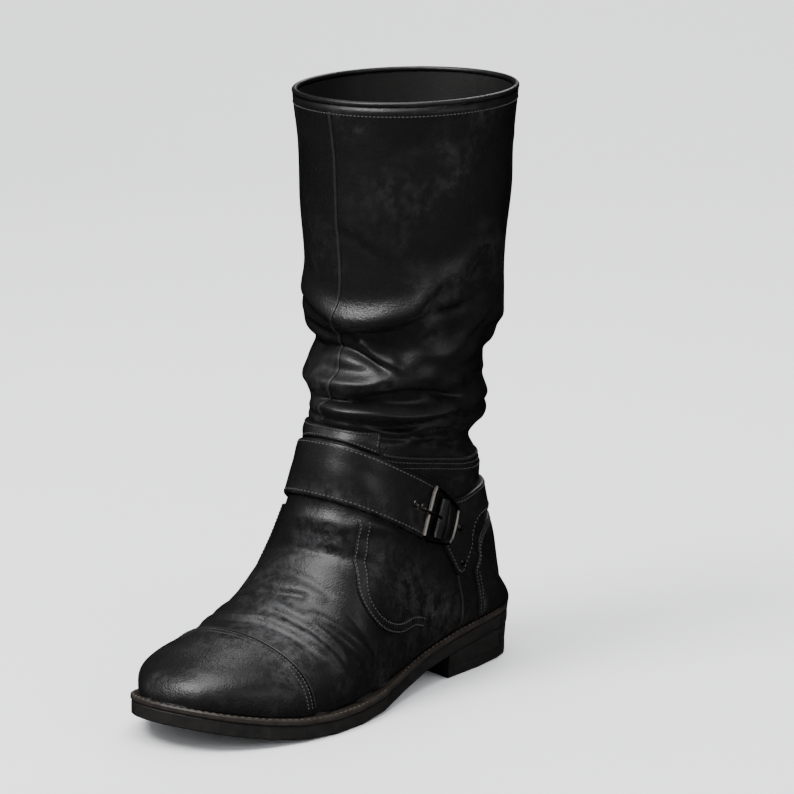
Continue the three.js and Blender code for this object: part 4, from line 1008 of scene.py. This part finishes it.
vamp_seam(1, "outer")
vamp_seam(-1, "inner")

# Tab at the front of the ankle, just above the strap
TAB_TURN = 28


def strap_edge(turn):
    over = STRAP_WIDTH / 2 + 1.2
    z = STRAP_Z + 2 * STRAP_WIDTH
    for _ in range(4):
        y = on_shaft(turn, z)[0][1]
        z = STRAP_Z + (over + (AXIS[1] - y) * math.sin(STRAP_TILT)) / math.cos(STRAP_TILT)
    return z


def tab_height(side):
    return strap_edge(0) + 7 - 2 * side * side


def front_tab():
    hits = []
    for share in shares(8, 0.9, 8):
        row = []
        for s in shares(steps(60), 0.9, 48):
            side = 2 * s - 1
            low = strap_edge(TAB_TURN * side)
            row.append(on_shaft(TAB_TURN * side, low + share * (tab_height(side) - low)))
        hits.append(row)
    overlay("tab_leather", hits, OVERLAY_THICK, UPPER, "front_tab", 0.9)


front_tab()


def collar_binding():
    rim = outer_grid[-1][:-1]
    away = outer_normals[-1][:-1].copy()
    away[:, 2] = 0
    away = unit(away)
    middle = rim - away * WALL / 2
    half = BINDING / 2
    rings = [
        middle + away * (math.cos(t) * half) + np.array([0, 0, CLEAR + half * (0.9 + math.sin(t))])
        for t in np.linspace(0, 2 * math.pi, 20, endpoint=False)
    ]
    points = np.stack(rings + [rings[0]])
    faces = grid_faces(points.shape[0], points.shape[1], closed=True)
    obj = make_object("collar_roll", points.reshape(-1, 3), faces, [UPPER])
    weld(obj)
    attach(obj, "boot")
    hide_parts("collar_binding")


collar_binding()


def laid(hits, height):
    """A line of places at a height over the upper, with their normals smoothed along the line."""
    points = np.array([h[0] for h in hits])
    normals = np.array([h[1] for h in hits])
    for _ in range(4):
        normals[1:-1] = normals[:-2] + 2 * normals[1:-1] + normals[2:]
        normals = unit(normals)
    return points + normals * height, normals


class Stitches:
    """Many stitches as one mesh. Each is a small capsule pressed into the leather."""

    SIDES = 6
    # Share of the length, swell and lift of each ring
    PROFILE = ((0, 0.45, -0.2), (0.2, 0.95, 0.05), (0.5, 1.0, 0.12), (0.8, 0.95, 0.05), (1, 0.45, -0.2))

    def __init__(self):
        self.points = []
        self.faces = []

    def row(self, points, normals, pitch=2.7, length=1.9, thick=0.5):
        run = run_of(points)
        count = max(1, int(run[-1] / pitch))
        for k in range(count):
            middle = (k + 0.5) * run[-1] / count
            start, end = (at_run(middle + d, run, points) for d in (-length / 2, length / 2))
            self.stitch(start, end, unit(at_run(middle, run, normals)), thick)

    def stitch(self, start, end, out, thick):
        way = end - start
        size = np.linalg.norm(way)
        if size < 1e-6:
            return
        side = np.cross(way / size, out)
        side /= max(np.linalg.norm(side), 1e-9)
        first = len(self.points)
        for share, swell, lift in self.PROFILE:
            middle = start + way * share + out * lift * thick
            for k in range(self.SIDES):
                a = 2 * math.pi * k / self.SIDES
                ring = side * math.cos(a) + out * math.sin(a) * 0.8
                self.points.append(middle + ring * thick / 2 * swell)
        rings = len(self.PROFILE)
        around = grid_faces(rings, self.SIDES, first, closed=True)
        self.faces += around[:, ::-1].tolist()
        self.faces.append([first + k for k in reversed(range(self.SIDES))])
        self.faces.append([first + (rings - 1) * self.SIDES + k for k in range(self.SIDES)])

    def make(self, name, material):
        obj = make_object(name, self.points, self.faces, [material])
        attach(obj, "boot")


def ribbon(name, middle_hits, width, thick, material=UPPER, edge=0.5):
    """A thin lapped edge along places on the upper."""
    points = np.array([h[0] for h in middle_hits])
    _, normals = laid(middle_hits, 0)
    side = np.cross(normals, unit(np.gradient(points, axis=0)))
    rows = []
    for share in shares(3, edge, width):
        row = []
        for k in range(len(points)):
            place = SURFACE.find_nearest(Vector(points[k] + side[k] * (share - 0.5) * width))[0]
            row.append((np.array(place), normals[k]))
        rows.append(row)
    overlay(name, rows, thick, material, None, edge, 0.3)


def shaft_route(points, count):
    return [on_shaft(t, u * SHAFT_TOP) for t, u in smooth_route(points, count)]


def side_route(side, points, count):
    return [on_side(side, a * FOOT_LENGTH, u * SHAFT_TOP) for a, u in smooth_route(points, count)]


thread = Stitches()

# Collar: a row of stitches below the rolled edge
rim = outer_grid[-1]
rim_turns = np.degrees(np.arctan2(rim[:, 0] - AXIS[0], AXIS[1] - rim[:, 1]))
order = np.argsort(rim_turns)


def below_rim(turn, drop):
    z = np.interp(turn, rim_turns[order], rim[order, 2], period=360)
    return on_shaft(turn, z - drop)


collar_row = [below_rim(t, 5.0) for t in np.linspace(-180, 180, steps(240))]
thread.row(*laid(collar_row, 0.1), pitch=2.4, length=1.7, thick=0.65)

# Front seam of the shaft, lapped to the outer side
FRONT_SEAM = [(-1.9, 0.976), (-1.4, 0.94), (-0.4, 0.9), (0.2, 0.85), (0.8, 0.79), (1.4, 0.76), (2.2, 0.72),
              (2.4, 0.68), (1.2, 0.64), (-0.4, 0.61), (-0.8, 0.58), (1.6, 0.56), (2.4, 0.53), (0.4, 0.5),
              (-2.4, 0.485), (-1.6, 0.462)]
ribbon("front_seam_edge", shaft_route(FRONT_SEAM, steps(160)), 2.0, 0.5, SEAM)

# Back seam of the shaft and of the counter
BACK_SEAM = [(180, up) for up in (0.988, 0.8, 0.66, 0.58, 0.5, 0.44, 0.38, 0.335)]
ribbon("back_seam_edge", shaft_route(BACK_SEAM, steps(120)), 2.4, 0.6, SEAM)
BACK_STRIP = [(180, up) for up in (0.255, 0.2, 0.15, 0.1)]
ribbon("counter_seam_edge", shaft_route(BACK_STRIP, steps(40)), 2.0, OVERLAY_THICK + 0.3)

# Lower edge of the shaft, stitched over the foot
SHAFT_EDGE = [(30, 0.411), (38, 0.403), (50, 0.396), (70, 0.388), (100, 0.378), (130, 0.374), (160, 0.373),
              (180, 0.373)]
SHAFT_EDGE += [(360 - t, u) for t, u in reversed(SHAFT_EDGE[:-1])]
ribbon("shaft_edge", shaft_route(SHAFT_EDGE, steps(220)), 1.6, 0.6, SEAM)
for drop in (0.008, 0.017):
    thread.row(*laid(shaft_route([(t, u - drop) for t, u in SHAFT_EDGE], steps(220)), 0.12))

# Vamp strips: two rows each
for side in (1, -1):
    for over in (-0.34, 0.34):
        places = smooth_route([(row["along"], row["up"]) for row in VAMP_SEAM], steps(90))
        places = places * [FOOT_LENGTH, SHAFT_TOP]
        way = unit(np.gradient(places, axis=0))
        flat = places + np.stack([-way[:, 1], way[:, 0]], 1) * over * SEAM_WIDTH
        hits = [on_side(side, a, z) for a, z in flat]
        thread.row(*laid(hits, ON_OVERLAY), pitch=2.3, length=1.6, thick=0.7)


def cap_row(back):
    """A line of places on the toe, behind the edge of the cap by a distance."""
    count = steps(150)
    columns = 2 * (count // 2)
    hits = []
    for j in range(4, count - 3):
        p = section_points(cap_place(j / count) - back / CAP_STATION, columns)[min(j, columns)]
        centre = np.array([0, p[1], seat_at(HEEL_BACK - p[1]) + 6])
        hits.append(cast(centre, p - centre))
    return hits


# Toe cap: two rows along its edge, and the lapped edge before them
for back in (1.5, 4.2):
    thread.row(*laid(cap_row(back), OVERLAY_THICK + 0.15), pitch=2.2, length=1.55, thick=0.7)
ribbon("cap_edge", cap_row(-0.9), 1.5, 0.8, SEAM)

# Counter: two rows inside its front and upper edge
counter_rows = mirrored(COUNTER, ["lowTurn", "highTurn"])
for inset in (1.6, 4.0):
    for part in (1, -1):
        hits = []
        for t in np.linspace(0.06, 1, steps(50)):
            row = along_rows(counter_rows, 0.0 if part > 0 else 1.0)
            turn = turn_at(row, t) + part * math.degrees(inset / 42)
            low = HEEL_HEIGHT + 1
            hits.append(on_shaft(turn, low + t * (row["high"] * SHAFT_TOP - low)))
        thread.row(*laid(hits, ON_OVERLAY), pitch=2.3, length=1.6, thick=0.65)
    hits = []
    for share in np.linspace(0.02, 0.98, steps(120)):
        row = along_rows(counter_rows, share)
        hits.append(on_shaft(row["highTurn"], row["high"] * SHAFT_TOP - inset))
    thread.row(*laid(hits, ON_OVERLAY), pitch=2.3, length=1.6, thick=0.65)

# Plain side seam below the point of the heel strap, on both sides
SIDE_SEAM = [(0.262, 0.19), (0.258, 0.172), (0.25, 0.152), (0.243, 0.13), (0.24, 0.108), (0.238, 0.09)]
for side, name in ((1, "outer"), (-1, "inner")):
    ribbon("side_seam_" + name, side_route(side, SIDE_SEAM, steps(40)), 1.8, 0.6, SEAM)

# Tab: a row inside its edge
tab_path = [(s, strap_edge(TAB_TURN * s) + 1.4) for s in np.linspace(0.95, -0.95, 30)]
tab_path += [(-0.95, strap_edge(-TAB_TURN * 0.95) + 1.4 + t) for t in np.linspace(1, 6, 4)]
tab_path += [(s, tab_height(s) - 1.5) for s in np.linspace(-0.95, 0.95, 40)]
tab_path += [(0.95, tab_height(0.95) - 1.5 - t) for t in np.linspace(1, 7, 4)]
tab_hits = [on_shaft(TAB_TURN * s, z) for s, z in tab_path]
thread.row(*laid(tab_hits, ON_OVERLAY), pitch=2.2, length=1.5, thick=0.65)
thread.make("upper_stitches", THREAD)

# Strap stitches: one row along each edge of both straps
strap_thread = Stitches()
for across in (-STRAP_WIDTH / 2 + 2.3, STRAP_WIDTH / 2 - 2.3):
    hits = [on_strap(a, across) for a in np.linspace(-STRAP_END + 1, STRAP_END - 1, steps(120))]
    strap_thread.row(*laid(hits, STRAP_THICK + CLEAR - 0.05), pitch=2.8, length=2.0, thick=0.7)
harness_rows = mirrored(HEEL_STRAP, ["lowTurn", "highTurn"])
for inset in (2.0, -2.0):
    hits = []
    for share in np.linspace(0.015, 0.985, steps(200)):
        row = along_rows(harness_rows, share)
        tall = (row["high"] - row["low"]) * SHAFT_TOP
        t = abs(inset) / tall if inset > 0 else 1 - abs(inset) / tall
        hits.append(on_shaft(turn_at(row, t), row["low"] * SHAFT_TOP + t * tall))
    strap_thread.row(*laid(hits, HARNESS_THICK + CLEAR - 0.05), pitch=2.8, length=2.0, thick=0.7)
strap_thread.make("strap_stitches", THREAD)


EYELET_RADIUS = 1.7
EYELET_WIRE = 0.55


def eyelet(name, hit, lift, turns=24, sides=10):
    """A small metal ring on a strap, round a dark disc."""
    place, out = hit
    side = unit(np.cross(out, [0, 0, 1]))
    up = np.cross(side, out)
    middle = place + out * lift
    ways = [side * math.cos(a) + up * math.sin(a) for a in 2 * math.pi * np.arange(turns) / turns]
    points = []
    for way in ways:
        for b in 2 * math.pi * np.arange(sides) / sides:
            reach = EYELET_RADIUS + EYELET_WIRE * math.cos(b)
            points.append(middle + way * reach + out * EYELET_WIRE * 0.7 * math.sin(b))
    faces = grid_faces(turns + 1, sides, closed=True) % (turns * sides)
    ring = make_object(name, points, faces, [METAL])
    centre = middle + out * 0.06
    disc = [centre] + [centre + way * EYELET_RADIUS for way in ways]
    hole = make_object(name + "_hole", disc, [[0, k + 1, (k + 1) % turns + 1] for k in range(turns)], [TAPE])
    for obj in (ring, hole):
        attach(obj, "boot")


# Eyelets of the ankle strap: two on each side, before the buckle
for side, name in ((1, "outer"), (-1, "inner")):
    for k, angle in enumerate((47.5, 42.5)):
        eyelet("eyelet_%s_%d" % (name, k), on_strap(side * angle, 0.5), STRAP_THICK + CLEAR)


def zip_route(first, last, count, over=0.0):
    """A line of places along the zip, or beside it by a distance."""
    at = np.linspace(first, last, count) * (len(ZIP) - 1)
    place = np.arange(len(ZIP), dtype=float)
    turns, heights = (smooth_line(place, line, at) for line in np.array(ZIP, float).T)
    turns = turns + math.degrees(over / (SHAFT_WIDTH / 2))
    return [on_shaft(t, HEEL_HEIGHT + u * SHAFT_RISE) for t, u in zip(turns, heights)]


# Zip: dark tape in the slot, teeth, and rows of stitches beside it
TOOTH_PITCH = 1.5
ribbon("zip_tape", zip_route(0, 1, steps(70)), 3.0, 0.15, TAPE, 0.2)
teeth_line, teeth_out = laid(zip_route(0.05, 1, steps(300)), 0.75)
teeth = Stitches()
run = run_of(teeth_line)
for k in range(int(run[-1] / TOOTH_PITCH)):
    at = (k + 0.5) * TOOTH_PITCH
    middle = at_run(at, run, teeth_line)
    out = at_run(at, run, teeth_out)
    over = unit(np.cross(out, at_run(at + 1, run, teeth_line) - middle))
    middle = middle + over * (0.35 if k % 2 else -0.35)
    teeth.stitch(middle - over * 0.85, middle + over * 0.85, out, 1.0)
teeth.make("zip_teeth", ZIP_METAL)
zip_thread = Stitches()
for over in (-1.9, 1.9, -4.9, 4.9):
    line, out = laid(zip_route(0.01, 1, steps(120), over), OVERLAY_THICK + CLEAR - 0.1)
    zip_thread.row(line, out, pitch=2.5, length=1.7, thick=0.65)
zip_thread.make("zip_stitches", THREAD)

# Inner seam of the shaft above and below the zip
INNER_SEAM_TOP = [(-84.6, 0.988), (-85, 0.955), (-85.6, 0.925)]
INNER_SEAM_LOW = [(-69.5, 0.582), (-70, 0.55), (-72, 0.51), (-74, 0.475), (-75, 0.44), (-76, 0.41),
                  (-77, 0.385)]
ribbon("inner_seam_top", shaft_route(INNER_SEAM_TOP, steps(30)), 2.0, 0.6, SEAM)
ribbon("inner_seam_low", shaft_route(INNER_SEAM_LOW, steps(70)), 2.2, 0.6, SEAM)

# Welt stitches on top of the welt, along both sides from the heel to the toe
welt_thread = Stitches()
edge_places = np.linspace(0.12, TOE_ROWS - 0.4, steps(160))
for side in (1, -1):
    line = []
    for place in edge_places:
        s = station_at(place)
        half = s["outer"] if side > 0 else s["inner"]
        line.append([s["centre"] + side * half, HEEL_BACK - s["lowAt"], 0])
    line = np.array(line)
    way = unit(np.gradient(line, axis=0))
    outward = np.stack([-way[:, 1], way[:, 0], np.zeros(len(way))], 1)
    outward = np.where(outward[:, :1] * side < 0, -outward, outward)
    reach = WALL + 2.4 + 3.5 * smoothstep((HEEL_BACK - line[:, 1]) / FOOT_LENGTH, 0.38, 0.62)
    line = line + outward * reach[:, None]
    line[:, 2] = seat_at(HEEL_BACK - line[:, 1]) + 0.05
    welt_thread.row(line, np.tile([0.0, 0.0, 1.0], (len(line), 1)), pitch=4.2, length=2.8, thick=0.8)
welt_thread.make("welt_stitches", WELT_THREAD)

# CAD pieces that stay, with their own materials
KEPT = {
    "welt": WELT,
    "outsole": RUBBER,
    "heel_stack": RUBBER,
    "heel_top_piece": RUBBER,
    "insole": INSOLE,
    "zip_slider": ZIP_METAL,
    "zip_pull": ZIP_METAL,
    "zip_guard_front": UPPER,
    "zip_guard_back": UPPER,
}
for side_name in ("outer", "inner"):
    KEPT["roller_" + side_name] = STRAP
    for start in ("buckle_", "prong_", "rivet_low_", "rivet_high_"):
        KEPT[start + side_name] = METAL
for kept_name, kept_material in KEPT.items():
    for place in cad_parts[kept_name].material_slots:
        place.material = kept_material


# The camera's turn about the boot, in degrees from its toe to its outer side
VIEW_TURN = 39


def make_stage():
    """Floor with its backdrop, lights and world, in metres."""
    cloth = plain_material("backdrop", (0.95, 0.95, 0.955), 0.9)
    reach, back, bend = 4.0, 3.0, 1.2
    profile = [(-reach, 0.0), (back - bend, 0.0)]
    for t in np.linspace(0, math.pi / 2, 13)[1:]:
        profile.append((back - bend + bend * math.sin(t), bend - bend * math.cos(t)))
    profile.append((back, 5.0))
    turn = math.radians(VIEW_TURN)
    way = Vector((-math.sin(turn), math.cos(turn), 0))
    side = Vector((way.y, -way.x, 0))
    points = [way * a + side * b + Vector((0, 0, z)) for a, z in profile for b in (-5, 5)]
    faces = [(2 * i, 2 * i + 1, 2 * i + 3, 2 * i + 2) for i in range(len(profile) - 1)]
    floor = make_object("floor", np.array([list(p) for p in points]) / MM, faces, [cloth])
    floor.visible_glossy = False
    middle = Vector((0, -0.06, 0.15))
    for name, turn, up, away, size, power in (
        ("key", -14, 50, 2.5, 1.1, 58),
        ("side", 92, 24, 2.8, 1.1, 7),
        ("top", 20, 80, 2.5, 1.7, 46),
        ("back", 205, 42, 2.6, 1.2, 22),
    ):
        a, e = math.radians(turn), math.radians(up)
        light = bpy.data.lights.new(name, "AREA")
        light.shape = "DISK"
        light.size = size
        light.energy = power
        obj = bpy.data.objects.new(name, light)
        bpy.context.collection.objects.link(obj)
        flat = math.cos(e) * away
        obj.location = (math.sin(a) * flat, -math.cos(a) * flat, middle.z + math.sin(e) * away)
        obj.rotation_euler = (middle - obj.location).to_track_quat("-Z", "Y").to_euler()
    world = bpy.data.worlds.new("studio")
    bpy.context.scene.world = world
    world.use_nodes = True
    light = world.node_tree.nodes["Background"].inputs
    light["Color"].default_value = (0.95, 0.97, 1.0, 1)
    light["Strength"].default_value = 1.05
    world.cycles_visibility.glossy = False


make_stage()


def make_camera():
    data = bpy.data.cameras.new("camera")
    camera = bpy.data.objects.new("camera", data)
    bpy.context.collection.objects.link(camera)
    turn = math.radians(VIEW_TURN)
    away = 2.2
    camera.location = (away * math.sin(turn), -away * math.cos(turn), 0.647)
    aim = Vector((0.008, -0.062, 0.172))
    look = (aim - camera.location).to_track_quat("-Z", "Y")
    roll = Quaternion((0, 0, 1), math.radians(0.64))
    camera.rotation_euler = (look @ roll).to_euler()
    data.sensor_width = 36
    data.lens = 168
    bpy.context.scene.camera = camera


make_camera()
